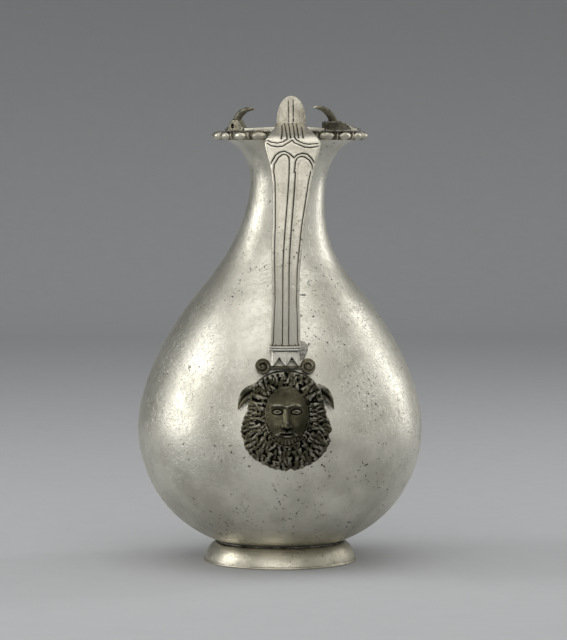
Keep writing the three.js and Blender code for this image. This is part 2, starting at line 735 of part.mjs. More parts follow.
// Where the collar's lower edge, the calyx, the volute plate and the mask follow one another.
const collarFoot = handleFrame(1).point.z - SEAM - COLLAR_HEIGHT;
const calyxFoot = collarFoot - CALYX_HEIGHT;

// Calyx under the collar, of three leaves with a rib down each and a notch between them.
function calyx() {
  const footHalf = CALYX_FOOT_WIDTH / 2;
  const notchAt = CALYX_NOTCH_AT / footHalf;
  const shares = [1, 0.86, 0.7, 2 * notchAt, 1.5 * notchAt, notchAt, 0.5 * notchAt, 0.12];
  const edgeAt = [0, 0, 0, 0.2, 1.4, 1, 1.4, 0].map((_, i) => {
    const fromNotch = Math.abs(shares[i] - notchAt) / notchAt;
    return Math.max(0, 1 - fromNotch * 1.15) * CALYX_NOTCH_HEIGHT;
  });
  const columns = [...shares.map((share, i) => [-share, edgeAt[i]]), [0, 0]];
  const mirrored = shares.map((share, i) => [share, edgeAt[i]]).reverse();
  const rows = 7;
  const sections = [...columns, ...mirrored].map(([share, notch]) => {
    const top = collarFoot + COLLAR_HEIGHT / 2;
    const bottom = calyxFoot + notch;
    const front = Array.from({ length: rows }, (_, i) => {
      const height = lerp(top, bottom, i / (rows - 1));
      const down = (top - height) / (top - calyxFoot);
      const halfWidth = lerp(CALYX_TOP_WIDTH, CALYX_FOOT_WIDTH, smooth(down, 0.2, 1)) / 2;
      const reach = lerp(CALYX_TOP_REACH, CALYX_FOOT_REACH, down ** 2);
      const rib = CALYX_RIB * down * (bell(share / 0.1) + bell((Math.abs(share) - 0.8) / 0.12) - 1);
      return onBody(share * halfWidth, height, reach + rib - 0.8 * share ** 4);
    });
    const across = (share * CALYX_TOP_WIDTH) / 2;
    return [...front, onBody((share * CALYX_FOOT_WIDTH) / 2, bottom, 0), onBody(across, top, 0)];
  });
  return capped(sections);
}

// Relief on the body from a polar grid round a middle: how far it spreads and how high it stands.
function relief({ across, height, spokes, rings, spread, rise, back }) {
  const ringAt = (share, outAt) =>
    Array.from({ length: spokes }, (_, k) => {
      const angle = (k / spokes) * 2 * Math.PI;
      const radius = share * spread(angle);
      const [u, v] = [radius * Math.sin(angle), radius * Math.cos(angle)];
      return onBody(across + u, height + v, outAt(share, angle, u, v));
    });
  const shares = Array.from({ length: rings }, (_, i) => (i + 1) / rings);
  const front = shares.map((share) => ringAt(share, rise));
  const everyFew = Math.ceil(rings / 6);
  const backShares = shares.filter((_, i) => (rings - 1 - i) % everyFew === 0);
  const behind = backShares.map((share) => ringAt(share, () => back));
  const pole = (out) => [onBody(across, height, out)];
  return loft([pole(rise(0, 0, 0, 0)), ...front, ...behind.reverse(), pole(back)]);
}

const maskRadius = naturalSpline(
  MASK_OUTLINE.map(([degrees]) => THREE.MathUtils.degToRad(degrees)),
  MASK_OUTLINE.map(([, radius]) => radius),
);
const maskSpread = (angle) => maskRadius(Math.abs(turned(angle)));
const maskTop = MASK_HEIGHT + MASK_OUTLINE[0][1];

function volutePlate() {
  const span = CALYX_FOOT_WIDTH / 2 + SEAM + VOLUTE_RADIUS;
  const top = calyxFoot - SEAM;
  const bottom = maskTop + SEAM;
  const scroll = (side) =>
    relief({
      across: side * span,
      height: top,
      spokes: VOLUTE_SPOKES,
      rings: VOLUTE_RINGS,
      spread: () => VOLUTE_RADIUS,
      rise: (share, angle) => {
        const turn = VOLUTE_TURNS * share + (side * angle) / (2 * Math.PI);
        const ridge = 0.5 + 0.5 * Math.cos(2 * Math.PI * turn);
        return SEAM + VOLUTE_THICKNESS + VOLUTE_RELIEF * (share < 0.3 ? 1 : ridge) * (1 - share ** 6);
      },
      back: SEAM,
    });
  const steps = 12;
  const bar = capped(
    Array.from({ length: steps + 1 }, (_, i) => {
      const across = lerp(-span, span, i / steps);
      const drop = bell(across / 1.4);
      const out = SEAM + VOLUTE_THICKNESS + VOLUTE_RELIEF * drop;
      return [
        onBody(across, bottom, SEAM + SOLDER),
        onBody(across, bottom, out - 0.3),
        onBody(across, (bottom + top) / 2, out),
        onBody(across, top, out - 0.3),
        onBody(across, top, SEAM + SOLDER),
      ];
    }),
  );
  return joined([bar, scroll(1), scroll(-1)]);
}

// How far the mask stands out at a place on it: u across and v up from its middle.
function maskRise(share, angle, u, v) {
  const dome = MASK_EDGE + MASK_DOME * Math.sqrt(Math.max(0, 1 - share ** 2));
  const faceMiddle = (HAIRLINE + CHIN) / 2;
  const faceHalfHeight = (HAIRLINE - CHIN) / 2;
  const faceShare = Math.hypot(u / FACE_HALF_WIDTH, (v - faceMiddle) / faceHalfHeight);
  const inFace = 1 - smooth(faceShare, 0.9, 1.15);
  const eyes = BROW - 2.2;
  const mouth = lerp(NOSE_BASE, CHIN, 1 / 3);
  const aside = Math.abs(u);
  const bridge = 1 - 0.6 * smooth(v, NOSE_BASE + 1, BROW);
  const noseLength = smooth(v, NOSE_BASE - 1.5, NOSE_BASE) * (1 - smooth(v, BROW, BROW + 3));
  const nose = NOSE_RISE * bell(u / 1.9) * bridge * noseLength;
  const features = [
    FACE_RISE * Math.sqrt(Math.max(0, 1 - faceShare ** 2)),
    nose,
    1.2 * bell((v - BROW) / 1.4) * bell(u / 7),
    -1.5 * bell((aside - 4) / 2) * bell((v - eyes) / 1.6),
    0.8 * bell((aside - 4) / 1.1) * bell((v - eyes) / 0.8),
    0.6 * bell((aside - 5) / 2.2) * bell((v - NOSE_BASE - 1.5) / 2.4),
    1.2 * bell((v - mouth - 1.6 + 0.18 * aside) / 1.0) * bell(u / 6.5),
    -0.8 * bell((v - mouth) / 0.7) * bell(u / 3),
    0.8 * bell((v - mouth + 1.3) / 0.9) * bell(u / 2.2),
  ];
  const face = features.reduce((sum, feature) => sum + feature, 0);
  const lock = LOCK_DEPTH * Math.cos(LOCKS * angle + 7 * share) * smooth(share, 0.3, 0.6);
  return dome + inFace * face + (1 - inFace) * (lock + LOCK_DEPTH);
}

function maskHead() {
  const standOff = SEAM + SOLDER;
  const head = relief({
    across: 0,
    height: MASK_HEIGHT,
    spokes: MASK_SPOKES,
    rings: MASK_RINGS,
    spread: maskSpread,
    rise: (...place) => standOff + SEAM + maskRise(...place),
    back: standOff + SEAM,
  });
  const ear = (side) => {
    const shares = [0, 0.2, 0.45, 0.7, 0.9, 1];
    return limb(
      shares.map((share) => {
        const across = lerp(EAR_ROOT[0], EAR_TIP[0], share) + 1.6 * Math.sin(share * Math.PI);
        const up = lerp(EAR_ROOT[1], EAR_TIP[1], share) + 1.2 * Math.sin(share * Math.PI);
        const out = lerp(solderedJoint + EAR_THICKNESS * 0.9, solderedJoint + 0.8, share);
        const middle = onBody(side * across, MASK_HEIGHT + up, out);
        const taper = 0.12 + 0.88 * Math.sin((0.25 + 0.75 * (1 - share)) * (Math.PI / 2)) * (1 - share ** 3);
        const turn = Math.atan2(EAR_ROOT[1] - EAR_TIP[1], EAR_TIP[0] - EAR_ROOT[0]);
        const half = (EAR_WIDTH / 2) * taper;
        const beside = onBody(
          side * (across + half * Math.sin(turn)),
          MASK_HEIGHT + up + half * Math.cos(turn),
          out,
        );
        const raised = onBody(side * across, MASK_HEIGHT + up, out + (EAR_THICKNESS / 2) * taper);
        return { middle, wide: beside.sub(middle), deep: raised.sub(middle) };
      }),
    );
  };
  return joined([head, ear(1), ear(-1)]);
}

// Thin bed of solder on the body, from a polar outline.
function solderBed(across, height, spread) {
  const rise = () => SEAM + SOLDER;
  return relief({ across, height, spokes: 24, rings: 4, spread, rise, back: SEAM });
}

function socketSolder() {
  const spread = (angle) => {
    const oval = Math.hypot(
      Math.sin(angle) / (SOCKET_SOLDER_WIDTH / 2),
      Math.cos(angle) / (SOCKET_SOLDER_HEIGHT / 2),
    );
    return (1 + 0.08 * Math.cos(5 * angle + 1)) / oval;
  };
  return solderBed(SOCKET_SOLDER_SHIFT, collarFoot, spread);
}

function maskSolder() {
  return solderBed(0, MASK_HEIGHT, (angle) => MASK_BED * maskSpread(angle));
}

function piece(name, geometry, color, roughness, metalness) {
  const mesh = new THREE.Mesh(geometry, new THREE.MeshStandardMaterial({ color, roughness, metalness }));
  mesh.name = name;
  return mesh;
}

const SILVER = 0xb2afa1;
const CAST_SILVER = 0xbdb9ab;
const TARNISH = 0x6f6c5e;
const DARK_PATINA = 0x3f3c30;
const GREY_SOLDER = 0x6b6a64;

const oinochoe = new THREE.Group();
oinochoe.add(
  piece("vessel_body", vesselBody(), SILVER, 0.3, 1),
  piece("rim_moulding", rimMoulding(), SILVER, 0.35, 1),
  piece("foot_ring", footRing(), SILVER, 0.35, 1),
  piece("foot_solder", footSolder(), GREY_SOLDER, 0.7, 0.6),
  piece("handle_strap", handle(), CAST_SILVER, 0.32, 1),
  piece("thumb_rest", thumbRest(), CAST_SILVER, 0.4, 1),
  piece("finial_left", finial(-1, LEFT_FINIAL, true), TARNISH, 0.4, 1),
  piece("finial_right", finial(1, RIGHT_FINIAL, false), TARNISH, 0.4, 1),
  piece("rim_solder", rimSolder(), GREY_SOLDER, 0.7, 0.6),
  piece("handle_socket", handleSocket(), TARNISH, 0.45, 1),
  piece("socket_solder", socketSolder(), GREY_SOLDER, 0.7, 0.6),
  piece("volute_plate", volutePlate(), DARK_PATINA, 0.5, 0.9),
  piece("mask", maskHead(), DARK_PATINA, 0.55, 0.9),
  piece("mask_solder", maskSolder(), GREY_SOLDER, 0.7, 0.6),
);

// The table's origin: the middle of the whole piece's footprint, which the mask makes deeper on its side.
const extent = new THREE.Box3().setFromObject(oinochoe);
const middle = extent.getCenter(new THREE.Vector3());
oinochoe.position.set(-middle.x, -middle.y, -extent.min.z);

export default oinochoe;
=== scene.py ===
import math
import random

import bmesh
import bpy
import numpy as np
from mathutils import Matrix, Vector, noise


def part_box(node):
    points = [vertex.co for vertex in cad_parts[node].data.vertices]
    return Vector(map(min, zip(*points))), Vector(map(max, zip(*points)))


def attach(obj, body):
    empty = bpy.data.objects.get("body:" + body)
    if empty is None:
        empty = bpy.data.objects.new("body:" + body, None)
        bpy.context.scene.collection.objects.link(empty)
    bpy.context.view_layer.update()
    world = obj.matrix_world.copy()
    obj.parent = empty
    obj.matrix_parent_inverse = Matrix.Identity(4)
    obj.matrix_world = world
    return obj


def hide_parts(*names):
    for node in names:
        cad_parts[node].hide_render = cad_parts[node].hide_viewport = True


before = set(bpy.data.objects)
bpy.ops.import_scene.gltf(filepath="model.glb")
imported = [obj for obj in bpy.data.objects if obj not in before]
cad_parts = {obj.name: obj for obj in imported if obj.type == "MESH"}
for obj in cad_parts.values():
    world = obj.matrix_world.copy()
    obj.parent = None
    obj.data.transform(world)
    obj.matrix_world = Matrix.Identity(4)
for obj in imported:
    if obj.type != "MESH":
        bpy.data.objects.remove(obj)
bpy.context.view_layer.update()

# The vessel: a pear-shaped bowl with a bent neck and a three-lobed mouth, raised from one sheet of
# silver about 1.2 mm thick. It stands on the foot ring and carries every other piece. Its sizes, like
# those of all pieces, are in millimetres.
MM = 0.001
foot_low, foot_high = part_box("foot_ring")
AXIS = (foot_low + foot_high) / 2 / MM
WALL = 1.2
FLOOR_HEIGHT = 5.6
SEAT = (29.5, 9.8)
BELLY = (68.9, 63.5)
NECK = (18.3, 178.0)
LIP = (34.3, 205.6)
UNDERBELLY = [(0.368, 0.137), (0.706, 0.375), (0.885, 0.61)]
SHOULDER = [(0.901, 0.228), (0.7036, 0.41), (0.496, 0.546), (0.261, 0.677), (0.087, 0.817)]
FLARE = [(0.0375, 0.385), (0.194, 0.63), (0.394, 0.8), (0.725, 0.935)]
NECK_LEAN = 4.8
LEAN_HEIGHTS = (140.0, 200.0)
SPOUT_REACH = 41.0
SPOUT_LIFT = 2.2
SPOUT_SPREAD = math.radians(18)
PINCH_RADIUS = 27.8
PINCH_ANGLE = math.radians(45)
PINCH_SPREAD = math.radians(18)
LIP_ROUNDING = 0.2
DENT_DEPTH = 0.16
DENT_HEIGHTS = (12, 30)
DENT_TURN = 1.3
DENT_LENGTH = 34
DENT_WEIGHT = 1.6
HAMMER_SIZE = 9
HAMMER_START = 40
HAMMER_WEIGHT = 0.35
BODY_SIDES = 192
BODY_ROWS = 150
FIRST_ROW = 0.4
NORMAL_STEP = 0.01
TABLE_ROWS = 3000


def smooth(value, start, end):
    share = np.clip((value - start) / (end - start), 0, 1)
    return share * share * (3 - 2 * share)


def bell(x):
    return np.exp(-np.square(x))


def lerp(start, end, share):
    return start + (end - start) * share


def natural_spline(knots, values):
    """A smooth curve through values at knots, as a function of the place along the knots."""
    knots, values = np.array(knots, float), np.array(values, float)
    count = len(knots)
    step = np.diff(knots)
    rise = np.diff(values) / step
    matrix = np.eye(count)
    right = np.zeros(count)
    for i in range(1, count - 1):
        matrix[i, i - 1 : i + 2] = (step[i - 1], 2 * (step[i - 1] + step[i]), step[i])
        right[i] = 6 * (rise[i] - rise[i - 1])
    bend = np.linalg.solve(matrix, right)

    def at(place):
        i = np.clip(np.searchsorted(knots, place) - 1, 0, count - 2)
        before, after = place - knots[i], knots[i + 1] - place
        chord = (values[i] * after + values[i + 1] * before) / step[i]
        sag = (bend[i] * (step[i] + after) + bend[i + 1] * (step[i] + before)) / 6
        return chord - before * after * sag / step[i]

    return at


def between(start, end, shares):
    return [(lerp(start[0], end[0], r), lerp(start[1], end[1], h)) for r, h in shares]


stations = [
    (0.0, FLOOR_HEIGHT),
    (SEAT[0] / 2, lerp(FLOOR_HEIGHT, SEAT[1], 0.15)),
    SEAT,
    *between(SEAT, BELLY, UNDERBELLY),
    BELLY,
    *between(BELLY, NECK, [(1 - r, h) for r, h in SHOULDER]),
    NECK,
    *between(NECK, LIP, FLARE),
    LIP,
]
knots = np.concatenate([[0], np.cumsum(np.hypot(*np.diff(np.array(stations), axis=0).T))])
profile_radius = natural_spline(knots, [r for r, h in stations])
profile_height = natural_spline(knots, [h for r, h in stations])


def profile_normal(along):
    dr = profile_radius(along + NORMAL_STEP) - profile_radius(along - NORMAL_STEP)
    dz = profile_height(along + NORMAL_STEP) - profile_height(along - NORMAL_STEP)
    length = np.hypot(dr, dz)
    return dz / length, -dr / length


table_along = np.linspace(knots[2], knots[-1], TABLE_ROWS)
table_height = profile_height(table_along)
table_radius = profile_radius(table_along)
table_out, table_up = profile_normal(table_along)


def on_body(across, height, out):
    """A point over the body: across from the handle's line, its own height, how far out it stands."""
    under = height
    for _ in range(3):
        under = height - out * np.interp(under, table_height, table_up)
    radius = np.interp(under, table_height, table_radius)
    reach = radius + out * np.interp(under, table_height, table_out)
    angle = across / radius
    return reach * np.sin(angle), -reach * np.cos(angle), height


def turned(angle):
    return math.atan2(math.sin(angle), math.cos(angle))


def angles_round(count):
    return [2 * math.pi * k / count for k in range(count)]


def mouth_radius(angle):
    away = turned(angle)
    spout = (SPOUT_REACH - LIP[0]) * bell(away / SPOUT_SPREAD)
    pinches = bell((away - PINCH_ANGLE) / PINCH_SPREAD) + bell((away + PINCH_ANGLE) / PINCH_SPREAD)
    return LIP[0] + spout - (LIP[0] - PINCH_RADIUS) * pinches


def mouth_lift(angle):
    return SPOUT_LIFT * bell(turned(angle) / PINCH_ANGLE)


def wall_ring(along, inset, dent_depth=0.0):
    """A ring of the wall at a place along its profile, inset from its outer face, with its dents."""
    out, up = profile_normal(along)
    radius = float(profile_radius(along) - inset * out)
    height = float(profile_height(along) - inset * up)
    dent = dent_depth * float(smooth(height, *DENT_HEIGHTS))
    opening = smooth(height, NECK[1], LIP[1])
    lean = NECK_LEAN * smooth(height, *LEAN_HEIGHTS)
    ring = []
    for angle in angles_round(BODY_SIDES):
        spread = 1 + opening * (mouth_radius(angle) / LIP[0] - 1)
        x, y = math.sin(angle), math.cos(angle)
        dented = noise.noise(Vector((x * DENT_TURN, y * DENT_TURN, height / DENT_LENGTH)))
        blow = (x * radius / HAMMER_SIZE, y * radius / HAMMER_SIZE, height / HAMMER_SIZE + HAMMER_START)
        hammered = noise.noise(Vector(blow))
        pressed = dent * (max(0, -dented) * DENT_WEIGHT + HAMMER_WEIGHT * max(0, hammered))
        reach = (radius - pressed) * spread
        ring.append((reach * x + lean, reach * y, height + opening * mouth_lift(angle)))
    return ring


def lofted(name, rings, looped=False):
    """A closed mesh from rings with the same number of points. A ring of one point is a pole."""
    points, faces, first = [], [], []
    for ring in rings:
        first.append(len(points))
        points.extend(ring)
    joins = len(rings) if looped else len(rings) - 1
    for i in range(joins):
        n = (i + 1) % len(rings)
        here, there = len(rings[i]), len(rings[n])
        sides = max(here, there)
        for j in range(sides):
            k = (j + 1) % sides
            corners = [
                first[i] + (j if here > 1 else 0),
                first[i] + (k if here > 1 else 0),
                first[n] + (k if there > 1 else 0),
                first[n] + (j if there > 1 else 0),
            ]
            faces.append(list(dict.fromkeys(corners)))
    mesh = bpy.data.meshes.new(name)
    place = (np.array(points, float) + np.array([AXIS[0], AXIS[1], 0])) * MM
    mesh.from_pydata(place.tolist(), [], faces)
    return mesh


def shown_object(name, mesh):
    piece = bpy.data.objects.new(name, mesh)
    bpy.context.scene.collection.objects.link(piece)
    return piece


def made_piece(name, meshes):
    """One object at the origin from one or more closed meshes, with its faces turned outwards."""
    work = bmesh.new()
    for mesh in meshes:
        work.from_mesh(mesh)
    bmesh.ops.remove_doubles(work, verts=work.verts, dist=1e-7)
    bmesh.ops.recalc_face_normals(work, faces=work.faces)
    whole = bpy.data.meshes.new(name)
    work.to_mesh(whole)
    work.free()
    whole.shade_smooth()
    return shown_object(name, whole)


HOLLOW_REACH = 4


def mark_hollows(piece, full, passes):
    """Writes attribute hollow: 0.5 on a flat place, towards 1 in a groove and towards 0 on a ridge."""
    mesh = piece.data
    count = len(mesh.vertices)
    points, normals = np.zeros(count * 3), np.zeros(count * 3)
    mesh.vertices.foreach_get("co", points)
    mesh.vertices.foreach_get("normal", normals)
    points, normals = points.reshape(-1, 3) / MM, normals.reshape(-1, 3)
    edges = np.zeros(len(mesh.edges) * 2, int)
    mesh.edges.foreach_get("vertices", edges)
    a, b = edges.reshape(-1, 2).T
    links = np.maximum(np.bincount(a, minlength=count) + np.bincount(b, minlength=count), 1)

    def mean(values):
        return (np.bincount(a, values[b], count) + np.bincount(b, values[a], count)) / links

    moved = points.copy()
    for _ in range(HOLLOW_REACH):
        moved = np.stack([mean(moved[:, axis]) for axis in range(3)], 1)
    depth = ((moved - points) * normals).sum(1)
    for _ in range(passes):
        depth = 0.5 * depth + 0.5 * mean(depth)
    hollow = mesh.attributes.new("hollow", "FLOAT", "POINT")
    hollow.data.foreach_set("value", np.clip(0.5 + 0.5 * depth / full, 0, 1))


def finished(piece, material, node, full, passes=2):
    mark_hollows(piece, full, passes)
    piece.data.materials.clear()
    piece.data.materials.append(material)
    for polygon in piece.data.polygons:
        polygon.material_index = 0
    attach(piece, "root")
    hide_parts(node)


def shade(red, green, blue):
    """A screen colour from 0 to 255 as the scene's linear colour."""
    return tuple(((c / 255 + 0.055) / 1.055) ** 2.4 for c in (red, green, blue)) + (1.0,)


def new_group(name, kind, inputs, outputs):
    group = bpy.data.node_groups.new(name, kind)
    for way, sockets in (("INPUT", inputs), ("OUTPUT", outputs)):
        for label, sort in sockets.items():
            group.interface.new_socket(label, in_out=way, socket_type="NodeSocket" + sort)
    return group, group.nodes.new("NodeGroupInput"), group.nodes.new("NodeGroupOutput")


def added(tree, kind, inputs, **settings):
    """A new node with its settings. Each input is linked to a socket or given a value of its own."""
    node = tree.nodes.new(kind)
    for name, setting in settings.items():
        setattr(node, name, setting)
    for label, value in inputs.items():
        if isinstance(value, bpy.types.NodeSocket):
            tree.links.new(value, node.inputs[label])
        else:
            node.inputs[label].default_value = value
    return node


def noise_node(tree, vector, scale, detail, rough):
    sizes = {"Vector": vector, "Scale": scale, "Detail": detail, "Roughness": rough}
    return added(tree, "ShaderNodeTexNoise", sizes).outputs["Fac"]


def ranged(tree, value, start, end, low=0.0, high=1.0):
    limits = {"Value": value, "From Min": start, "From Max": end, "To Min": low, "To Max": high}
    node = added(tree, "ShaderNodeMapRange", limits, interpolation_type="SMOOTHSTEP")
    return node.outputs["Result"]


def patches(tree, vector, scale, start, end, detail=4.0, rough=0.55, low=0.0, high=1.0):
    """Noise as patches with soft edges: low where it is below start and high where it is past end."""
    return ranged(tree, noise_node(tree, vector, scale, detail, rough), start, end, low, high)


def calculated(tree, operation, first, second):
    return added(tree, "ShaderNodeMath", {0: first, 1: second}, operation=operation).outputs[0]


def product(tree, first, second):
    return calculated(tree, "MULTIPLY", first, second)


def mixed(tree, factor, first, second):
    colours = {"Factor": factor, 6: first, 7: second}
    return added(tree, "ShaderNodeMix", colours, data_type="RGBA").outputs[2]


# Patina: cloudy tarnish, dark hollows and bright worn ridges.
patina, taken, given = new_group(
    "silver_patina",
    "ShaderNodeTree",
    {
        "Vector": "Vector", "Hollow": "Float", "Metal": "Color", "Cloud": "Color", "Dark": "Color",
        "Worn": "Color", "Cloud Amount": "Float", "Dark Amount": "Float", "Spots": "Float",
        "Worn Amount": "Float",
    },
    {"Color": "Color", "Dull": "Float"},
)
place = taken.outputs["Vector"]
clouds = patches(patina, place, scale=42.0, start=0.36, end=0.68, detail=7.0, rough=0.62)
clouds = product(patina, clouds, taken.outputs["Cloud Amount"])
specks = patches(patina, place, scale=620.0, start=0.6, end=0.68, detail=3.0, rough=0.6)
spot_places = patches(patina, place, scale=55.0, start=0.46, end=0.6, rough=0.6)
specks = product(patina, specks, spot_places)
specks = product(patina, specks, taken.outputs["Spots"])
grime = ranged(patina, taken.outputs["Hollow"], start=0.53, end=0.9)
grime = product(patina, grime, taken.outputs["Dark Amount"])
dark = calculated(patina, "MAXIMUM", grime, specks)
off_ridges = ranged(patina, taken.outputs["Hollow"], start=0.14, end=0.44)
ridges = calculated(patina, "SUBTRACT", 1.0, off_ridges)
rubbed = patches(patina, place, scale=260.0, start=0.4, end=0.62, detail=3.0, rough=0.6)
ridges = product(patina, ridges, rubbed)
ridges = product(patina, ridges, taken.outputs["Worn Amount"])
tone = mixed(patina, clouds, taken.outputs["Metal"], taken.outputs["Cloud"])
tone = mixed(patina, ridges, tone, taken.outputs["Worn"])
tone = mixed(patina, dark, tone, taken.outputs["Dark"])
patina.links.new(tone, given.inputs["Color"])
dull = calculated(patina, "MAXIMUM", product(patina, clouds, 0.5), dark)
patina.links.new(dull, given.inputs["Dull"])

# Marks of use: fine scratches in three directions, small pits and an even grain.
SCRATCHES = ((0.3, (500, 24, 60)), (1.1, (30, 420, 50)), (2.0, (60, 40, 520)))
SCRATCH_TILTS = (1.0, 0.7, 1.9)
marks, taken, given = new_group(
    "use_marks",
    "ShaderNodeTree",
    {"Vector": "Vector", "Scratches": "Float", "Pits": "Float", "Grain": "Float"},
    {"Height": "Float"},
)
place = taken.outputs["Vector"]
height = 0.0
for turn, stretch in SCRATCHES:
    rotation = tuple(turn * tilt for tilt in SCRATCH_TILTS)
    turning = {"Vector": place, "Rotation": rotation, "Scale": stretch}
    stretched = added(marks, "ShaderNodeMapping", turning).outputs["Vector"]
    line = patches(marks, stretched, 6.0, start=0.3, end=0.4, detail=2.0, rough=0.5, low=-1.0, high=0.0)
    height = calculated(marks, "ADD", height, line)
height = product(marks, height, taken.outputs["Scratches"])
pits = patches(marks, place, 620.0, start=0.26, end=0.4, detail=2.0, rough=0.5, low=-1.0, high=0.0)
pits = product(marks, pits, taken.outputs["Pits"])
grain = noise_node(marks, place, scale=1500.0, detail=3.0, rough=0.6)
grain = product(marks, grain, taken.outputs["Grain"])
height = calculated(marks, "ADD", calculated(marks, "ADD", height, pits), grain)
marks.links.new(height, given.inputs["Height"])


WORN_SILVER = (226, 221, 205)


def silver_material(
    name, metal, cloud, dark, roughness, bump, clouds=1.0, hollows=1.0, spots=0.8, scratches=0.6,
    pits=1.0, grain=0.6, metallic=1.0, worn=0.3,
):
    """Old silver: three screen colours, how much shows of each effect, and the height of its marks."""
    material = bpy.data.materials.new(name)
    material.use_nodes = True
    tree = material.node_tree
    shader = tree.nodes["Principled BSDF"]
    shader.inputs["Metallic"].default_value = metallic
    coordinates = tree.nodes.new("ShaderNodeTexCoord").outputs["Object"]
    hollow = added(tree, "ShaderNodeAttribute", {}, attribute_name="hollow").outputs["Fac"]
    finish = {
        "Vector": coordinates, "Hollow": hollow,
        "Metal": shade(*metal), "Cloud": shade(*cloud), "Dark": shade(*dark),
        "Worn": shade(*WORN_SILVER),
        "Cloud Amount": clouds, "Dark Amount": hollows, "Spots": spots, "Worn Amount": worn,
    }
    aged = added(tree, "ShaderNodeGroup", finish, node_tree=patina)
    tree.links.new(aged.outputs["Color"], shader.inputs["Base Color"])
    dull = ranged(tree, aged.outputs["Dull"], 0.0, 1.0, *roughness)
    tree.links.new(dull, shader.inputs["Roughness"])
    wear = {"Vector": coordinates, "Scratches": scratches, "Pits": pits, "Grain": grain}
    used = added(tree, "ShaderNodeGroup", wear, node_tree=marks)
    relief = {"Distance": bump * MM, "Height": used.outputs["Height"]}
    bumped = added(tree, "ShaderNodeBump", relief)
    tree.links.new(bumped.outputs["Normal"], shader.inputs["Normal"])
    return material


body_material = silver_material(
    "raised_silver", metal=(222, 219, 206), cloud=(168, 165, 151), dark=(52, 48, 36), clouds=0.62,
    hollows=0.6, spots=1.0, scratches=0.8, grain=0.4, roughness=(0.36, 0.6), bump=0.05,
)
first_place, last_place = knots[1] * FIRST_ROW, knots[-1] - LIP_ROUNDING
outer_places = np.linspace(first_place, last_place, BODY_ROWS)
inner_places = np.linspace(first_place, last_place, BODY_ROWS * 2 // 3)
rings = [[(0, 0, FLOOR_HEIGHT)]]
rings += [wall_ring(along, 0.0, DENT_DEPTH) for along in outer_places]
rings += [wall_ring(knots[-1], inset) for inset in (LIP_ROUNDING, WALL - LIP_ROUNDING)]
rings += [wall_ring(along, WALL) for along in inner_places[::-1]]
rings.append([(0, 0, FLOOR_HEIGHT + WALL)])
body = made_piece("body", [lofted("body", rings)])
finished(body, body_material, "vessel_body", full=0.5)

# The moulding: a strip of bead and reel, cast in silver, bent round the outside of the lip and
# soldered to it. Long beads alternate with thin reels in dark gaps.
SEAM = 0.3
MOULDING_HEIGHT = 4.1
MOULDING_BACKING = 1.0
BEAD_DEPTH = 2.4
BEAD_PITCH = 11.0
BEAD_LENGTH = 8.0
BEAD_HEIGHT_SHARE = 0.97
REEL_LENGTH = 0.9
REEL_HEIGHT_SHARE = 0.86
REEL_DEPTH_SHARE = 1.35
BALL_SEGMENTS = 20
BALL_RINGS = 14
STRIP_BEVEL = 0.3
STRIP_LOWER_BEVEL = 0.4
PATH_POINTS = 480
PATH_STEP = 0.001
moulding_middle = LIP[1] + WALL / 2
moulding_top = moulding_middle + MOULDING_HEIGHT / 2
moulding_front = SEAM + MOULDING_BACKING


def mouth_frame(angle, height):
    """Place on the mouth's outline: the point, and the level way out from it."""

    def at(turn):
        radius = mouth_radius(turn)
        x, y = radius * math.sin(turn) + NECK_LEAN, radius * math.cos(turn)
        return Vector((x, y, height + mouth_lift(turn)))

    along = at(angle + PATH_STEP) - at(angle - PATH_STEP)
    along.z = 0
    return at(angle), Vector((0, 0, 1)).cross(along.normalized())


def placed(spot, outward, upward):
    point, out = spot
    return tuple(point + out * outward + Vector((0, 0, upward)))


moulding_material = silver_material(
    "moulding_silver", metal=(204, 199, 182), cloud=(120, 115, 98), dark=(40, 37, 28), clouds=0.95,
    pits=0.8, roughness=(0.3, 0.6), bump=0.05,
)
lip_spots = [mouth_frame(angle, moulding_middle) for angle in angles_round(PATH_POINTS)]
path = [Vector(placed(spot, moulding_front, 0)) for spot in lip_spots]
path_length = sum((path[i] - path[i - 1]).length for i in range(PATH_POINTS))
path_mesh = bpy.data.meshes.new("lip_path")
path_mesh.from_pydata(
    [((x + AXIS[0]) * MM, (y + AXIS[1]) * MM, z * MM) for x, y, z in path],
    [(i, (i + 1) % PATH_POINTS) for i in range(PATH_POINTS)],
    [],
)
path_object = shown_object("lip_path", path_mesh)
tree, taken, given = new_group(
    "bead_and_reel",
    "GeometryNodeTree",
    {
        "Path": "Geometry", "Count": "Int", "Bead Length": "Float", "Bead Height": "Float",
        "Bead Depth": "Float", "Reel Length": "Float",
    },
    {"Moulding": "Geometry"},
)
curve = added(tree, "GeometryNodeMeshToCurve", {"Mesh": taken.outputs["Path"]}).outputs["Curve"]
count = product(tree, taken.outputs["Count"], 2)
spots = added(tree, "GeometryNodeCurveToPoints", {"Curve": curve, "Count": count})
along_x = added(
    tree, "FunctionNodeAlignRotationToVector", {"Vector": spots.outputs["Tangent"]}, axis="X"
)
upright = added(
    tree,
    "FunctionNodeAlignRotationToVector",
    {"Vector": (0, 0, 1), "Rotation": along_x.outputs["Rotation"]},
    axis="Z",
    pivot_axis="X",
)
index = tree.nodes.new("GeometryNodeInputIndex").outputs[0]
odd = calculated(tree, "MODULO", index, 2)
even = calculated(tree, "SUBTRACT", 1, odd)
parts = []
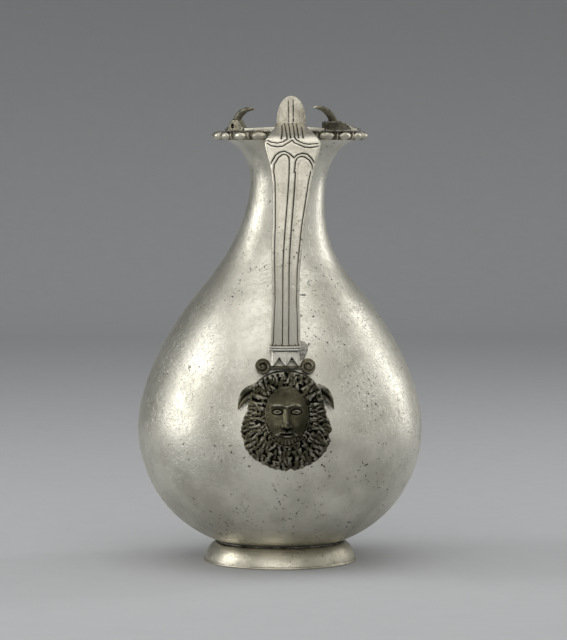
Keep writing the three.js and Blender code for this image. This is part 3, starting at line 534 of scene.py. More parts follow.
for chosen, length, height_share, depth_share in (
    (even, "Bead Length", 1.0, 2.0),
    (odd, "Reel Length", REEL_HEIGHT_SHARE, REEL_DEPTH_SHARE),
):
    roundness = {"Segments": BALL_SEGMENTS, "Rings": BALL_RINGS, "Radius": 0.5}
    ball = added(tree, "GeometryNodeMeshUVSphere", roundness).outputs["Mesh"]
    lying = added(tree, "GeometryNodeTransform", {"Rotation": (0, math.pi / 2, 0), "Geometry": ball})
    depth = product(tree, taken.outputs["Bead Depth"], depth_share)
    height = product(tree, taken.outputs["Bead Height"], height_share)
    size = added(tree, "ShaderNodeCombineXYZ", {0: taken.outputs[length], 1: depth, 2: height})
    instances = {
        "Points": spots.outputs["Points"],
        "Selection": chosen,
        "Instance": lying.outputs["Geometry"],
        "Rotation": upright.outputs["Rotation"],
        "Scale": size.outputs[0],
    }
    parts.append(added(tree, "GeometryNodeInstanceOnPoints", instances).outputs["Instances"])
joined = tree.nodes.new("GeometryNodeJoinGeometry")
for part in parts:
    tree.links.new(part, joined.inputs["Geometry"])
real = added(tree, "GeometryNodeRealizeInstances", {"Geometry": joined.outputs["Geometry"]})
coating = {"Geometry": real.outputs["Geometry"], "Material": moulding_material}
coated = added(tree, "GeometryNodeSetMaterial", coating)
tree.links.new(coated.outputs["Geometry"], given.inputs["Moulding"])
beading = path_object.modifiers.new("bead_and_reel", "NODES")
beading.node_group = tree
for label, size in (
    ("Count", round(path_length / BEAD_PITCH)),
    ("Bead Length", BEAD_LENGTH * MM),
    ("Bead Height", MOULDING_HEIGHT * BEAD_HEIGHT_SHARE * MM),
    ("Bead Depth", BEAD_DEPTH * MM),
    ("Reel Length", REEL_LENGTH * MM),
):
    beading[tree.interface.items_tree[label].identifier] = size


def evaluated_mesh(piece):
    bpy.context.view_layer.update()
    return bpy.data.meshes.new_from_object(
        piece.evaluated_get(bpy.context.evaluated_depsgraph_get())
    )


beads_mesh = evaluated_mesh(path_object)
bpy.data.objects.remove(path_object)
half = MOULDING_HEIGHT / 2
strip_corners = [
    (SEAM, -half), (SEAM, half), (moulding_front - STRIP_BEVEL, half),
    (moulding_front, half - STRIP_BEVEL), (moulding_front, STRIP_LOWER_BEVEL - half),
    (moulding_front - STRIP_BEVEL, -half),
]
strip_sections = [[placed(spot, *corner) for corner in strip_corners] for spot in lip_spots]
beads = made_piece("lip_beads", [beads_mesh])
finished(beads, moulding_material, "rim_moulding", full=0.35)
gap_material = silver_material(
    "moulding_gaps", metal=(96, 91, 75), cloud=(58, 54, 42), dark=(28, 26, 19), spots=0.9,
    grain=0.8, roughness=(0.4, 0.7), bump=0.06,
)
strip = made_piece("lip_strip", [lofted("strip", strip_sections, looped=True)])
finished(strip, gap_material, "rim_moulding", full=0.35)

# The foot: a ring turned in silver, with a thin flange at its lower edge. The bowl is soldered on
# its top.
SOLDER = 0.5
FOOT_RADIUS = 37.2
FOOT_FLANGE = 1.1
FOOT_STEP = 0.7
FOOT_TREAD = 3.4
FOOT_WALL = 2.4
FOOT_SEAT_WIDTH = 3.4
FOOT_ROUNDNESS = 1.6
FOOT_LOWER_EDGE = 0.2
FOOT_UPPER_EDGE = 0.25
FOOT_SIDES = 192
FOOT_ROWS = 24
UNDERSIDE_SAMPLES = 600


def underside_at(radius):
    samples = np.linspace(0, knots[4], UNDERSIDE_SAMPLES)
    return float(np.interp(radius, profile_radius(samples), profile_height(samples)))


soldered_joint = SEAM + SOLDER + SEAM
seat_inner, seat_outer = SEAT[0] - FOOT_SEAT_WIDTH / 2, SEAT[0] + FOOT_SEAT_WIDTH / 2
foot_top = underside_at(seat_outer) - soldered_joint
inner_top = underside_at(seat_inner) - soldered_joint
tread = FOOT_RADIUS - FOOT_TREAD
foot_profile = [
    (FOOT_RADIUS - FOOT_LOWER_EDGE, 0),
    (FOOT_RADIUS, FOOT_LOWER_EDGE),
    (FOOT_RADIUS, FOOT_FLANGE - FOOT_UPPER_EDGE),
    (FOOT_RADIUS - FOOT_UPPER_EDGE, FOOT_FLANGE),
]
for i in range(FOOT_ROWS + 1):
    angle = math.pi / 2 * i / FOOT_ROWS
    outward = max(0, math.cos(angle)) ** (2 / FOOT_ROUNDNESS)
    upward = math.sin(angle) ** (2 / FOOT_ROUNDNESS)
    foot_profile.append(
        (lerp(seat_outer, FOOT_RADIUS - FOOT_STEP, outward), lerp(FOOT_FLANGE, foot_top, upward))
    )
foot_profile += [(seat_inner, inner_top), (seat_inner, inner_top - FOOT_WALL / 2)]
foot_profile += [(seat_outer, foot_top - FOOT_WALL), (tread, foot_top / 2), (tread, 0)]
foot_sections = [
    [(r * math.cos(angle), r * math.sin(angle), z) for r, z in foot_profile]
    for angle in angles_round(FOOT_SIDES)
]
foot_material = silver_material(
    "turned_silver", metal=(208, 203, 186), cloud=(158, 153, 136), dark=(48, 45, 34), clouds=0.9,
    hollows=0.8, spots=0.7, pits=0.8, grain=0.4, roughness=(0.32, 0.58), bump=0.06,
)
foot = made_piece("foot", [lofted("foot", foot_sections, looped=True)])
finished(foot, foot_material, "foot_ring", full=0.6)

# The handle: a strap cast in silver, with a plate over the lip, double engraved brackets and arches,
# and two channels beside a middle rib. Two thin arms run from its plate along the lip.
PLATE_THICKNESS = 2.6
PLATE_OVERHANG = 8.0
PLATE_RISE = 0.4
PLATE_HALF = 7.4
STRAP_THICKNESS = 3.4
STRAP_STAND = 2.0
STRAP_FOOT_HEIGHT = 108.9
BEND_REACH = 56.0
BEND_HEIGHT = 203.0
BEND_APPROACH = (0.6, 0.47)
HANDLE_LEAN = 3.4
STRAP_BOW = 6.5
BOW_POWER = 0.7
BOW_PLACES = (0.1, 0.25, 0.42, 0.6, 0.8)
# The strap's width goes by the height of its top face, given first.
STRAP_WIDTHS = [
    (109, 14.1), (120.5, 13.5), (129.6, 12.7), (141.8, 13.1), (156, 14.4), (165, 15), (184.5, 18.2),
    (191.6, 20.6), (199.3, 25), (202, 26.2), (203.9, 26.3), (205.2, 25), (207.2, 21.8), (209, 18.2),
    (210.3, 15.4), (213, 13.6),
]
WIDTH_EASING = 1.3
WIDTH_SAMPLES = 9
LINE_STEP = 0.0005
plate_underside = moulding_top + soldered_joint
plate_middle = plate_underside + PLATE_THICKNESS / 2
strap_foot = on_body(0.0, STRAP_FOOT_HEIGHT, STRAP_STAND + STRAP_THICKNESS / 2)
approach_reach = lerp(LIP[0], BEND_REACH, BEND_APPROACH[0])
approach_height = lerp(plate_middle, BEND_HEIGHT, BEND_APPROACH[1])
line_points = [
    (-(LIP[0] - PLATE_OVERHANG), plate_middle + PLATE_RISE),
    (-LIP[0] - MOULDING_BACKING, plate_middle),
    (-approach_reach, approach_height),
    (-BEND_REACH, BEND_HEIGHT),
]
for share in BOW_PLACES:
    bow = STRAP_BOW * math.sin(share * math.pi) ** BOW_POWER
    line_points.append(
        (lerp(-BEND_REACH, strap_foot[1], share) - bow, lerp(BEND_HEIGHT, STRAP_FOOT_HEIGHT, share))
    )
line_points.append((float(strap_foot[1]), STRAP_FOOT_HEIGHT))
line_points = [Vector(p) for p in line_points]
LINE_SPANS = len(line_points) - 1
BEND_AT = 3 / LINE_SPANS


def handle_point(t):
    """Middle of the strap at a share of its line, as (y, z)."""
    place = min(max(t, 0), 1) * LINE_SPANS
    i = min(int(place), LINE_SPANS - 1)
    share = place - i
    p1, p2 = line_points[i], line_points[i + 1]
    p0 = line_points[i - 1] if i > 0 else 2 * p1 - p2
    p3 = line_points[i + 2] if i + 2 <= LINE_SPANS else 2 * p2 - p1
    d0, d1, d2 = ((b - a).length ** 0.5 for a, b in ((p0, p1), (p1, p2), (p2, p3)))
    m1 = ((p1 - p0) / d0 - (p2 - p0) / (d0 + d1) + (p2 - p1) / d1) * d1
    m2 = ((p2 - p1) / d1 - (p3 - p1) / (d1 + d2) + (p3 - p2) / d2) * d1
    cubic = (2 * (p1 - p2) + m1 + m2, 3 * (p2 - p1) - 2 * m1 - m2, m1, p1)
    return ((cubic[0] * share + cubic[1]) * share + cubic[2]) * share + cubic[3]


def handle_frame(t):
    """The strap's middle at a share of its line, the way along it and the way out of its top face."""
    point = handle_point(t)
    along = (handle_point(t + LINE_STEP) - handle_point(t - LINE_STEP)).normalized()
    x = HANDLE_LEAN * float(smooth(point.y, *LEAN_HEIGHTS))
    return Vector((x, point.x, point.y)), Vector((0, along.x, along.y)), Vector((0, along.y, -along.x))


def strap_width(level):
    """The strap's width where its top face is at a height, with the corners of the table eased."""
    heights, widths = zip(*STRAP_WIDTHS)
    around = level + np.linspace(-WIDTH_EASING, WIDTH_EASING, WIDTH_SAMPLES)
    return float(np.interp(around, heights, widths).mean())


# Engraved lines as places in the photograph, from its upper left corner.
BRACKETS = [
    [(265, 139.3), (270, 141.6), (276, 142.6), (282, 141.2), (286, 138.3), (285.3, 130), (285.3, 122)],
    [(265.5, 142.8), (270, 145.4), (276, 146.5), (281, 145.9), (285, 143.5), (291, 139.7)],
    [(293.4, 136), (295, 139), (298, 141), (302, 142.8), (307, 143.7), (317, 143)],
    [(291, 139.7), (293, 142.2), (297, 144), (303, 146.7), (309, 147.3), (318.5, 145.8)],
]
UPRIGHTS = [
    [(289.3, 119), (289.3, 137)], [(293.6, 119), (293.6, 136)], [(297.3, 123), (297.3, 137)],
    [(302, 127), (302, 137)], [(282, 125), (281.5, 131), (280, 138)],
]
LEFT_ARCH_OUTER = [
    (269, 170), (270, 162), (274, 155), (278, 152), (283, 151), (288, 153.5), (291, 156), (292.7, 157.3),
]
LEFT_ARCH_INNER = [
    (272.5, 172), (273, 164), (277, 157.5), (281, 154.3), (285, 154.5), (287.4, 157), (287.9, 161),
    (288, 170),
]
RIGHT_ARCH_OUTER = [
    (292.7, 157.3), (296, 154.5), (301, 153), (306, 154), (310, 158), (312.7, 162), (314, 168),
]
RIGHT_ARCH_INNER = [
    (293.3, 172), (294, 162), (295.5, 158), (299, 156.2), (303, 156.7), (308, 160), (311, 165), (312, 173),
]
ARCHES = [LEFT_ARCH_OUTER, LEFT_ARCH_INNER, RIGHT_ARCH_OUTER, RIGHT_ARCH_INNER]
PHOTO_SCALE = 0.4645
PHOTO_LEVEL = 148.5
PHOTO_LEVEL_HEIGHT = 200.0
PHOTO_MIDDLE_LOW = 284.6
PHOTO_MIDDLE_SHIFT = 6.6
PHOTO_MIDDLE_TOP = 291.2
MIDDLE_TOP_FROM = 185
MIDDLE_HEIGHTS = (130, 195)
ENGRAVED_DEPTH = 0.42
ENGRAVED_WIDTH = 0.42
STROKE_REACH = 1.5
CHANNEL_DEPTH = 0.22
CHANNELS_FROM = BEND_AT * 0.95
CHANNEL_TOPS = ((-4.6, 197.0), (4.9, 196.2))
CHANNEL_ARCH = 0.3
CHANNEL_ENDING = 2.2
OUTER_SLOPE = 1.8
RIB_SLOPE = 1.5
RIB_HALF = 1.45
RIB_LINE = 0.38
EDGE_INSET = 1.35
EDGE_LINE = 0.42
EDGE_LINES_TOP = 191.0
EDGE_LINES_ENDING = 2
EDGE_ROUNDING = 0.35
EDGE_ROUNDED = 1.3
FLAT_SHARE = 0.94
SIDE_SHARE = 0.06
ACROSS_STEPS = 96
SIDE_STEPS = 6
UNDER_STEPS = 13
ALONG_STEPS = 380


def on_strap(px, py):
    """A place in the photograph as (across the strap, height)."""
    height = PHOTO_LEVEL_HEIGHT - (py - PHOTO_LEVEL) * PHOTO_SCALE
    middle = PHOTO_MIDDLE_LOW + PHOTO_MIDDLE_SHIFT * float(smooth(height, *MIDDLE_HEIGHTS))
    if height > MIDDLE_TOP_FROM:
        middle = PHOTO_MIDDLE_TOP
    return (px - middle) * PHOTO_SCALE, height


strokes = []
for line in BRACKETS + UPRIGHTS + ARCHES:
    flat = [on_strap(*p) for p in line]
    strokes.extend(zip(flat[:-1], flat[1:]))


def engraved(across, height):
    """How deep the engraving cuts at places across the strap, all at one height."""
    cut = np.zeros_like(across)
    for (u1, z1), (u2, z2) in strokes:
        if height > max(z1, z2) + STROKE_REACH or height < min(z1, z2) - STROKE_REACH:
            continue
        du, dz = u2 - u1, z2 - z1
        share = np.clip(((across - u1) * du + (height - z1) * dz) / (du * du + dz * dz), 0, 1)
        distance = np.hypot(across - u1 - share * du, height - z1 - share * dz)
        cut = np.maximum(cut, bell(distance / ENGRAVED_WIDTH))
    return ENGRAVED_DEPTH * cut


def channelled(across, level, half_width, cut):
    """The engraving's cut together with the two channels and the lines along their edges."""
    left, right = (top - CHANNEL_ARCH * np.square(across - u) for u, top in CHANNEL_TOPS)
    channel_top = np.where(across < 0, left, right)
    inner = (half_width - EDGE_INSET) - np.abs(across)
    beside = np.abs(across) - RIB_HALF
    below = smooth(channel_top - level, 0.0, CHANNEL_ENDING)
    hollow = CHANNEL_DEPTH * smooth(inner, 0.0, OUTER_SLOPE) * smooth(beside, 0.0, RIB_SLOPE) * below
    lines = bell(inner / EDGE_LINE) + bell(beside / RIB_LINE)
    lines = ENGRAVED_DEPTH * lines * smooth(EDGE_LINES_TOP - level, 0, EDGE_LINES_ENDING)
    return np.maximum(cut + hollow, lines + hollow)


strap_sections = []
for i in range(ALONG_STEPS + 1):
    t = i / ALONG_STEPS
    point, along, out = handle_frame(t)
    half_thick = lerp(PLATE_THICKNESS, STRAP_THICKNESS, float(smooth(t, 0, BEND_AT))) / 2
    level = point.z + out.z * half_thick
    half_width = strap_width(level) / 2
    across = np.linspace(-FLAT_SHARE, FLAT_SHARE, ACROSS_STEPS) * half_width
    cut = engraved(across, level)
    if t > CHANNELS_FROM:
        cut = channelled(across, level, half_width, cut)
    rounding = EDGE_ROUNDING * smooth(np.abs(across), half_width - EDGE_ROUNDED, half_width)
    rise = half_thick - cut - rounding
    top = [point + Vector((float(u), 0, 0)) + out * float(r) for u, r in zip(across, rise)]
    edges = []
    for side, first_rise in ((1, rise[-1]), (-1, rise[0])):
        edge = []
        for k in range(1, SIDE_STEPS + 1):
            turn = math.pi * k / (SIDE_STEPS + 1)
            u = half_width * (FLAT_SHARE + SIDE_SHARE * math.sin(turn))
            r = lerp(float(first_rise), -half_thick, (1 - math.cos(turn)) / 2)
            edge.append(point + Vector((side * u, 0, 0)) + out * r)
        edges.append(edge)
    under = [
        point + Vector((u * half_width, 0, 0)) - out * half_thick
        for u in np.linspace(FLAT_SHARE, -FLAT_SHARE, UNDER_STEPS)
    ]
    strap_sections.append([tuple(p) for p in [*top, *edges[0], *under, *edges[1][::-1]]])


def with_poles(sections):
    ends = [tuple(np.mean(np.array(section), axis=0)) for section in (sections[0], sections[-1])]
    return [[ends[0]], *sections, [ends[1]]]


ARM_WIDTHS = (3.4, 2.6)
ARM_HEIGHTS = (2.0, 1.3)
ARM_SHOULDER = 0.35
ARM_ROUNDNESS = 0.6
ARM_ROWS = 40
ARM_STEPS = 12
ARM_START = math.degrees(math.asin((PLATE_HALF - ARM_WIDTHS[0]) / LIP[0]))
ARM_SEAM = math.degrees(SEAM / LIP[0])
RIGHT_FINIAL_FRONT = 24.7
LEFT_FINIAL_FRONT = 40
lip_seat = moulding_top + SEAM
lip_line = SEAM + MOULDING_BACKING / 2


def lip_arm(name, side, end):
    """A thin bar of rounded section that sits along the lip, up to an angle from the handle."""
    reach = (ARM_START, end)
    sections = []
    for angle in np.linspace(*reach, ARM_ROWS + 1):
        width = float(np.interp(angle, reach, ARM_WIDTHS))
        height = float(np.interp(angle, reach, ARM_HEIGHTS))
        spot = mouth_frame(math.pi - side * math.radians(float(angle)), lip_seat)
        corners = [(lip_line - width / 2, 0)]
        for k in range(ARM_STEPS + 1):
            turn = math.pi * k / ARM_STEPS
            aside = math.copysign(abs(math.cos(turn)) ** ARM_ROUNDNESS, math.cos(turn))
            up = lerp(ARM_SHOULDER, 1, math.sin(turn) ** ARM_ROUNDNESS)
            corners.append((lip_line - width / 2 * aside, height * up))
        corners.append((lip_line + width / 2, 0))
        sections.append([placed(spot, *corner) for corner in corners])
    return lofted(name, with_poles(sections))


arms = [
    lip_arm("arm_right", 1, RIGHT_FINIAL_FRONT - ARM_SEAM),
    lip_arm("arm_left", -1, LEFT_FINIAL_FRONT - ARM_SEAM),
]
strap_material = silver_material(
    "cast_strap_silver", metal=(222, 217, 202), cloud=(172, 167, 151), dark=(44, 39, 27),
    clouds=0.75, scratches=0.7, grain=0.5, roughness=(0.36, 0.62), bump=0.06,
)
strap = made_piece("handle", [lofted("strap", with_poles(strap_sections)), *arms])
finished(strap, strap_material, "handle_strap", full=0.06, passes=1)

# The thumb rest: a small leaf cast in silver that stands on the plate and leans over the mouth. A
# rough crust covers much of it, and two lines are cut into each face.
THUMB_HEIGHT = 13.0
THUMB_WIDTH = 13.9
THUMB_THICKNESS = 2.6
THUMB_TIP = 1.0
THUMB_LEAN = 2.4
THUMB_INWARD = 1.5
THUMB_ASIDE = 0.6
THUMB_SINK = 0.6
THUMB_END = 0.992
THUMB_TAPER = (2.3, 0.52)
THUMB_ROUNDNESS = 0.75
THUMB_LINE_ASIDE = 1.1
THUMB_LINE_SHIFT = 0.2
THUMB_LINE_WIDTH = 0.3
THUMB_LINE_DEPTH = 0.28
THUMB_LINE_ENDS = (0.75, 0.95)
CRUST_GRAIN = (1.3, 9, 3)
CRUST_NOISE = (0.7, 2.1, 4)
CRUST_DEPTH = 0.13
CRUST_HEAVY = 1.6
CRUST_LIGHT = 0.8
CRUST_HEAVY_FROM = 0.8
SURFACE_SINK = 0.07
EDGE_FADE = 4
THUMB_ROWS = 70
THUMB_SIDES = 120
thumb_middle = HANDLE_LEAN + THUMB_ASIDE
thumb_reach = LIP[0] - THUMB_INWARD
thumb_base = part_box("thumb_rest")[0].z / MM - THUMB_SINK
thumb_sections = []
for row in range(THUMB_ROWS):
    share = THUMB_END * row / (THUMB_ROWS - 1)
    leaning, level = THUMB_LEAN * share**2 - thumb_reach, thumb_base + THUMB_HEIGHT * share
    middle = Vector((thumb_middle, leaning, level))
    wide = THUMB_WIDTH / 2 * (1 - share ** THUMB_TAPER[0]) ** THUMB_TAPER[1]
    deep = lerp(THUMB_THICKNESS, THUMB_TIP, share) / 2
    line_depth = THUMB_LINE_DEPTH * (1 - float(smooth(share, *THUMB_LINE_ENDS)))
    ring = []
    for angle in angles_round(THUMB_SIDES):
        u = wide * math.cos(angle)
        v = deep * math.copysign(abs(math.sin(angle)) ** THUMB_ROUNDNESS, math.sin(angle))
        spot = Vector((u / CRUST_GRAIN[0], share * CRUST_GRAIN[1], v / CRUST_GRAIN[2]))
        crust = noise.fractal(spot, *CRUST_NOISE)
        crust *= CRUST_HEAVY if u > CRUST_HEAVY_FROM else CRUST_LIGHT
        beside = (abs(u + THUMB_LINE_SHIFT) - THUMB_LINE_ASIDE) / THUMB_LINE_WIDTH
        sunk = line_depth * float(bell(beside)) + CRUST_DEPTH * max(0, crust) + SURFACE_SINK
        v -= math.copysign(sunk * min(1, EDGE_FADE * abs(math.sin(angle))), math.sin(angle))
        ring.append(tuple(middle + Vector((u, v, 0))))
    thumb_sections.append(ring)
thumb_material = silver_material(
    "crusted_silver", metal=(212, 206, 190), cloud=(132, 127, 110), dark=(44, 40, 30), clouds=0.9,
    spots=0.9, scratches=0.5, grain=0.8, roughness=(0.34, 0.7), bump=0.09,
)
thumb = made_piece("thumb_leaf", [lofted("thumb_leaf", with_poles(thumb_sections))])
finished(thumb, thumb_material, "thumb_rest", full=0.1)

# The finials: a cast horn that curls back over a saddle on the lip, one on each side of the handle.
# They are soldered to the lip, tarnished dark below and rubbed bright along their upper edges.
EASING_FACTOR = 0.5


def softened(name, node, voxel, rounds):
    """A copy of a CAD node, remeshed finely and smoothed, so that its facets become a casting."""
    piece = made_piece(name, [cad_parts[node].data])
    remesh = piece.modifiers.new("remesh", "REMESH")
    remesh.mode = "VOXEL"
    remesh.voxel_size = voxel * MM
    remesh.use_smooth_shade = True
    easing = piece.modifiers.new("easing", "SMOOTH")
    easing.iterations = rounds
    easing.factor = EASING_FACTOR
    plain = evaluated_mesh(piece)
    piece.modifiers.clear()
    piece.data = plain
    plain.name = name
    plain.shade_smooth()
    return piece


finial_material = silver_material(
    "tarnished_casting", metal=(126, 121, 104), cloud=(62, 59, 47), dark=(24, 22, 16), spots=0.9,
    roughness=(0.3, 0.62), bump=0.08, worn=0.8,
)
for side in ("left", "right"):
    horn = softened(f"horn_{side}", f"finial_{side}", voxel=0.16, rounds=9)
    finished(horn, finial_material, f"finial_{side}", full=0.06, passes=4)

# The solder: soft grey lumps under the plate, round the foot, behind the socket and under the mask.
# It shows as a dull seam, and as a grey patch at the right of the socket that also paints shade on
# the shoulder there. Round the foot it is coloured near black: painted shade in the recess under the bowl.
solder_and_shade_material = silver_material(
    "old_solder_and_shade", metal=(140, 139, 132), cloud=(70, 68, 61), dark=(34, 32, 27), hollows=0.0,
    scratches=0.3, grain=1.0, roughness=(0.5, 0.8), bump=0.14, metallic=0.85,
)
# Solder seams, and on the patch at the right of the socket the grey also paints shade on the shoulder.
for node in ("rim_solder", "socket_solder", "mask_solder"):
    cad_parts[node].material_slots[0].material = solder_and_shade_material
# Painted shade: the solder round the foot is near black so that the recess between bowl and foot reads
# dark.
recess_shade_material = silver_material(
    "foot_solder_painted_shade", metal=(58, 55, 46), cloud=(36, 34, 27), dark=(18, 17, 12), hollows=0.0,
    spots=1.0, scratches=0.3, grain=1.0, roughness=(0.55, 0.85), bump=0.14, metallic=0.6,
)
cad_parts["foot_solder"].material_slots[0].material = recess_shade_material

# The socket: a double fillet over a three-pointed calyx, cast in one piece, which grips the strap's
# foot and is soldered to the shoulder.
socket_material = silver_material(
    "socket_silver", metal=(212, 209, 200), cloud=(158, 155, 145), dark=(36, 33, 24), clouds=0.7,
    spots=0.7, scratches=0.5, pits=0.8, grain=0.5, roughness=(0.32, 0.6), bump=0.07,
)
socket = softened("socket", "handle_socket", voxel=0.15, rounds=5)
finished(socket, socket_material, "handle_socket", full=0.05, passes=3)

# The volute plate: a bar with a scroll at each end, between the calyx and the mask, cast with them
# and darkly patinated.
scroll_material = silver_material(
    "dark_scrolls", metal=(134, 127, 106), cloud=(72, 68, 53), dark=(24, 22, 15), scratches=0.5,
    roughness=(0.34, 0.62), bump=0.08,
)
scrolls = softened("scrolls", "volute_plate", voxel=0.13, rounds=5)
finished(scrolls, scroll_material, "volute_plate", full=0.04, passes=3)

# The mask: a bearded head with pointed animal ears, cast in silver and soldered under the handle. Its
# face is a plain calm one, its hair and beard are overlapping locks, and it is nearly black.
MASK_HEIGHT = 74.2
MASK_OUTLINE = [
    (0, 23.2), (26, 22.8), (48, 21), (70, 18.6), (90, 19.8), (109, 21.6), (130, 22.8), (155, 23.3),
    (180, 23.6),
]
MASK_EDGE = 1.6
MASK_DOME = 3.2
HAIRLINE = 16.2
BROW = 6.8
EYE_ASIDE = 4.0
EYE_HEIGHT = BROW - 2.2
EYE_HALF = (2.1, 1.15)
NOSE_BASE = -2.6
NOSE_RISE = 2.5
CHIN = -12.0
MOUTH = lerp(NOSE_BASE, CHIN, 1 / 3)
BEARD_TOP = -8.4
BEARD_CURVE = 0.1
BEARD_BLEND = 0.8
FACE_BLEND = (0.9, 1.12)
HAIR_ENDING = (0.975, 1.0)
FACE_HALF_WIDTH = 9.6
FACE_MIDDLE, FACE_HALF = (HAIRLINE + CHIN) / 2, (HAIRLINE - CHIN) / 2
FACE_DOME = 2.2
# Mounds and hollows of the face: rise, place aside and up, half width and half height.
FACE_MOUNDS = (
    (0.75, 1.75, NOSE_BASE + 0.8, 0.75, 0.9),
    (-1.15, EYE_ASIDE, EYE_HEIGHT, 2.4, 1.9),
    (0.6, 5.2, NOSE_BASE + 1.0, 2.2, 2.4),
    (0.5, 0.0, CHIN + 2.4, 3.0, 1.6),
)
# Rows of locks from the edge inwards: place between the face and the edge, number, length, width.
LOCK_ROWS = (
    (0.8, 54, 4.8, 1.3), (0.6, 48, 5.2, 1.3), (0.38, 42, 5.2, 1.25), (0.16, 36, 4.8, 1.2),
    (-0.06, 32, 4.0, 1.1),
)
LOCK_SEED = 5
LOCK_DROOP = 0.35
LOCK_LIFT = 0.17
LOCK_RISE = 1.15
LOCK_DROPS = (0.3, 1.3)
LOCK_PLACES = (0.1, 0.9)
LOCK_SIZES = (0.8, 1.25)
LOCK_BENDS = (0.15, 0.6)
RAGGED_EDGE = 0.085
RAGGED_TURN = 3.4
RAGGED_START = 7.0
RAGGED_NOISE = (0.6, 2.2, 4)
EVEN_ANGLE = 0.9
EVEN_SHARE = 0.15
MASK_SPOKES = 300
MASK_RINGS = 110
mask_radius = natural_spline([math.radians(a) for a, _ in MASK_OUTLINE], [r for _, r in MASK_OUTLINE])


def face_reach(angle):
    """How far the face reaches from the mask's middle, at angles from its top."""
    a = (math.sin(angle) / FACE_HALF_WIDTH) ** 2 + (math.cos(angle) / FACE_HALF) ** 2
    b = FACE_MIDDLE * math.cos(angle) / FACE_HALF**2
    c = (FACE_MIDDLE / FACE_HALF) ** 2 - 1
    return (b + math.sqrt(b * b - a * c)) / a


def lock_places():
    """Locks in overlapping rows that flow away from the face: root, way, length, width and bend."""
    drawn = random.Random(LOCK_SEED)
    places = []
    for row, (share, count, length, width) in enumerate(LOCK_ROWS):
        lift = LOCK_LIFT * (len(LOCK_ROWS) - row)
        for k in range(count):
            angle = 2 * math.pi * (k + drawn.uniform(*LOCK_PLACES)) / count
            reach = lerp(face_reach(angle), float(mask_radius(abs(turned(angle)))), share)
            down = LOCK_DROOP * drawn.uniform(*LOCK_DROPS)
            way = Vector((math.sin(angle), math.cos(angle) - down)).normalized()
            size = drawn.uniform(*LOCK_SIZES)
            root = (reach * math.sin(angle), reach * math.cos(angle))
            bend = drawn.choice((-1, 1)) * drawn.uniform(*LOCK_BENDS)
            places.append((root, way, length * size, width * size, bend, lift))
    return places


LOCKS = lock_places()


def fold(offset, aside, rise, width, end, fade):
    """A long rise or groove at an offset from its line, which fades out towards its ends."""
    return rise * bell(offset / width) * smooth(end - aside, 0, fade)


def face_relief(u, v):
    """How far the features of the face stand out at places on the mask."""
    aside = np.abs(u)
    bridge = 1 - 0.55 * smooth(v, NOSE_BASE + 1, BROW)
    length = smooth(v, NOSE_BASE - 0.9, NOSE_BASE + 0.3) * (1 - smooth(v, BROW, BROW + 3))
    nose_width = lerp(1.25, 1.0, smooth(v, NOSE_BASE, BROW))
    relief = NOSE_RISE * bell(u / nose_width) * bridge * length
    for rise, side, up, half_width, half_height in FACE_MOUNDS:
        relief += rise * bell((aside - side) / half_width) * bell((v - up) / half_height)
    brow_line = BROW + 0.9 - 0.05 * np.square(aside - 3.6)
    relief += fold(v - brow_line, aside, rise=0.75, width=0.8, end=7.6, fade=2.2)
    lid = np.square((aside - EYE_ASIDE) / EYE_HALF[0]) + np.square((v - EYE_HEIGHT) / EYE_HALF[1])
    relief += 0.95 * np.sqrt(np.maximum(0, 1 - lid))
    relief -= 0.3 * bell((np.sqrt(lid) - 1.05) / 0.14)
    relief -= 0.28 * bell(np.hypot(aside - EYE_ASIDE, v - EYE_HEIGHT) / 0.45)
    off_lips = v - (MOUTH + 0.05 * np.square(u))
    relief += fold(off_lips - 0.75, aside, rise=0.75, width=0.55, end=3.4, fade=1.6)
    relief += fold(off_lips + 0.85, aside, rise=0.85, width=0.65, end=2.9, fade=1.6)
    relief -= fold(off_lips, aside, rise=0.45, width=0.3, end=3.4, fade=1.6)
    off_moustache = v - (MOUTH + 1.9 - 0.42 * aside - 0.03 * np.square(aside))
    strands = 0.16 * np.cos(5.2 * off_moustache + 1.1 * aside)
    moustache = fold(off_moustache, aside, rise=1.05 + strands, width=0.95, end=8.4, fade=3)
    return relief + moustache * smooth(aside, 0.1, 0.9)


def hair_relief(share, angle, u, v):
    """How far the locks stand out. Where locks overlap, the higher one shows."""
    hair = 0.1 + 0.12 * np.cos(40 * angle + 9 * share)
    for root, way, length, width, bend, lift in LOCKS:
        along = ((u - root[0]) * way.x + (v - root[1]) * way.y) / length
        beside = (u - root[0]) * way.y - (v - root[1]) * way.x
        narrow = width * (1.05 - 0.75 * np.clip(along, 0, 1))
        off = (beside - bend * length * np.square(along)) / narrow
        inside = (along > 0) & (along < 1.1) & (np.abs(off) < 1)
        arch = np.sin(np.pi * np.clip(0.2 + 0.72 * along, 0, 1))
        crest = np.sqrt(np.maximum(0, 1 - np.square(off))) * arch
        lock = lift + LOCK_RISE * crest + 0.16 * np.cos(7.5 * off)
        hair = np.where(inside, np.maximum(hair, lock), hair)
    return hair


def mask_rise(share, angle, u, v):
    """How far the mask stands out at places on it."""
    face_share = np.hypot(u / FACE_HALF_WIDTH, (v - FACE_MIDDLE) / FACE_HALF)
    dome = MASK_EDGE + MASK_DOME * np.sqrt(np.maximum(0, 1 - share**2))
    dome = dome + FACE_DOME * np.sqrt(np.maximum(0, 1 - face_share**2))
    beard_line = BEARD_TOP + BEARD_CURVE * np.square(u)
    above_beard = smooth(v, beard_line - BEARD_BLEND, beard_line + BEARD_BLEND)
    in_face = (1 - smooth(face_share, *FACE_BLEND)) * above_beard
    hair = hair_relief(share, angle, u, v) * (1 - smooth(share, *HAIR_ENDING))
    return dome + in_face * face_relief(u, v) + (1 - in_face) * hair


def raggedness(angle):
    """How ragged the mask's edge is at an angle from its top, where it is nearly even."""
    spot = Vector((RAGGED_TURN * math.sin(angle), RAGGED_TURN * math.cos(angle), RAGGED_START))
    ragged = abs(noise.fractal(spot, *RAGGED_NOISE))
    return ragged * (EVEN_SHARE if abs(turned(angle)) < EVEN_ANGLE else 1)


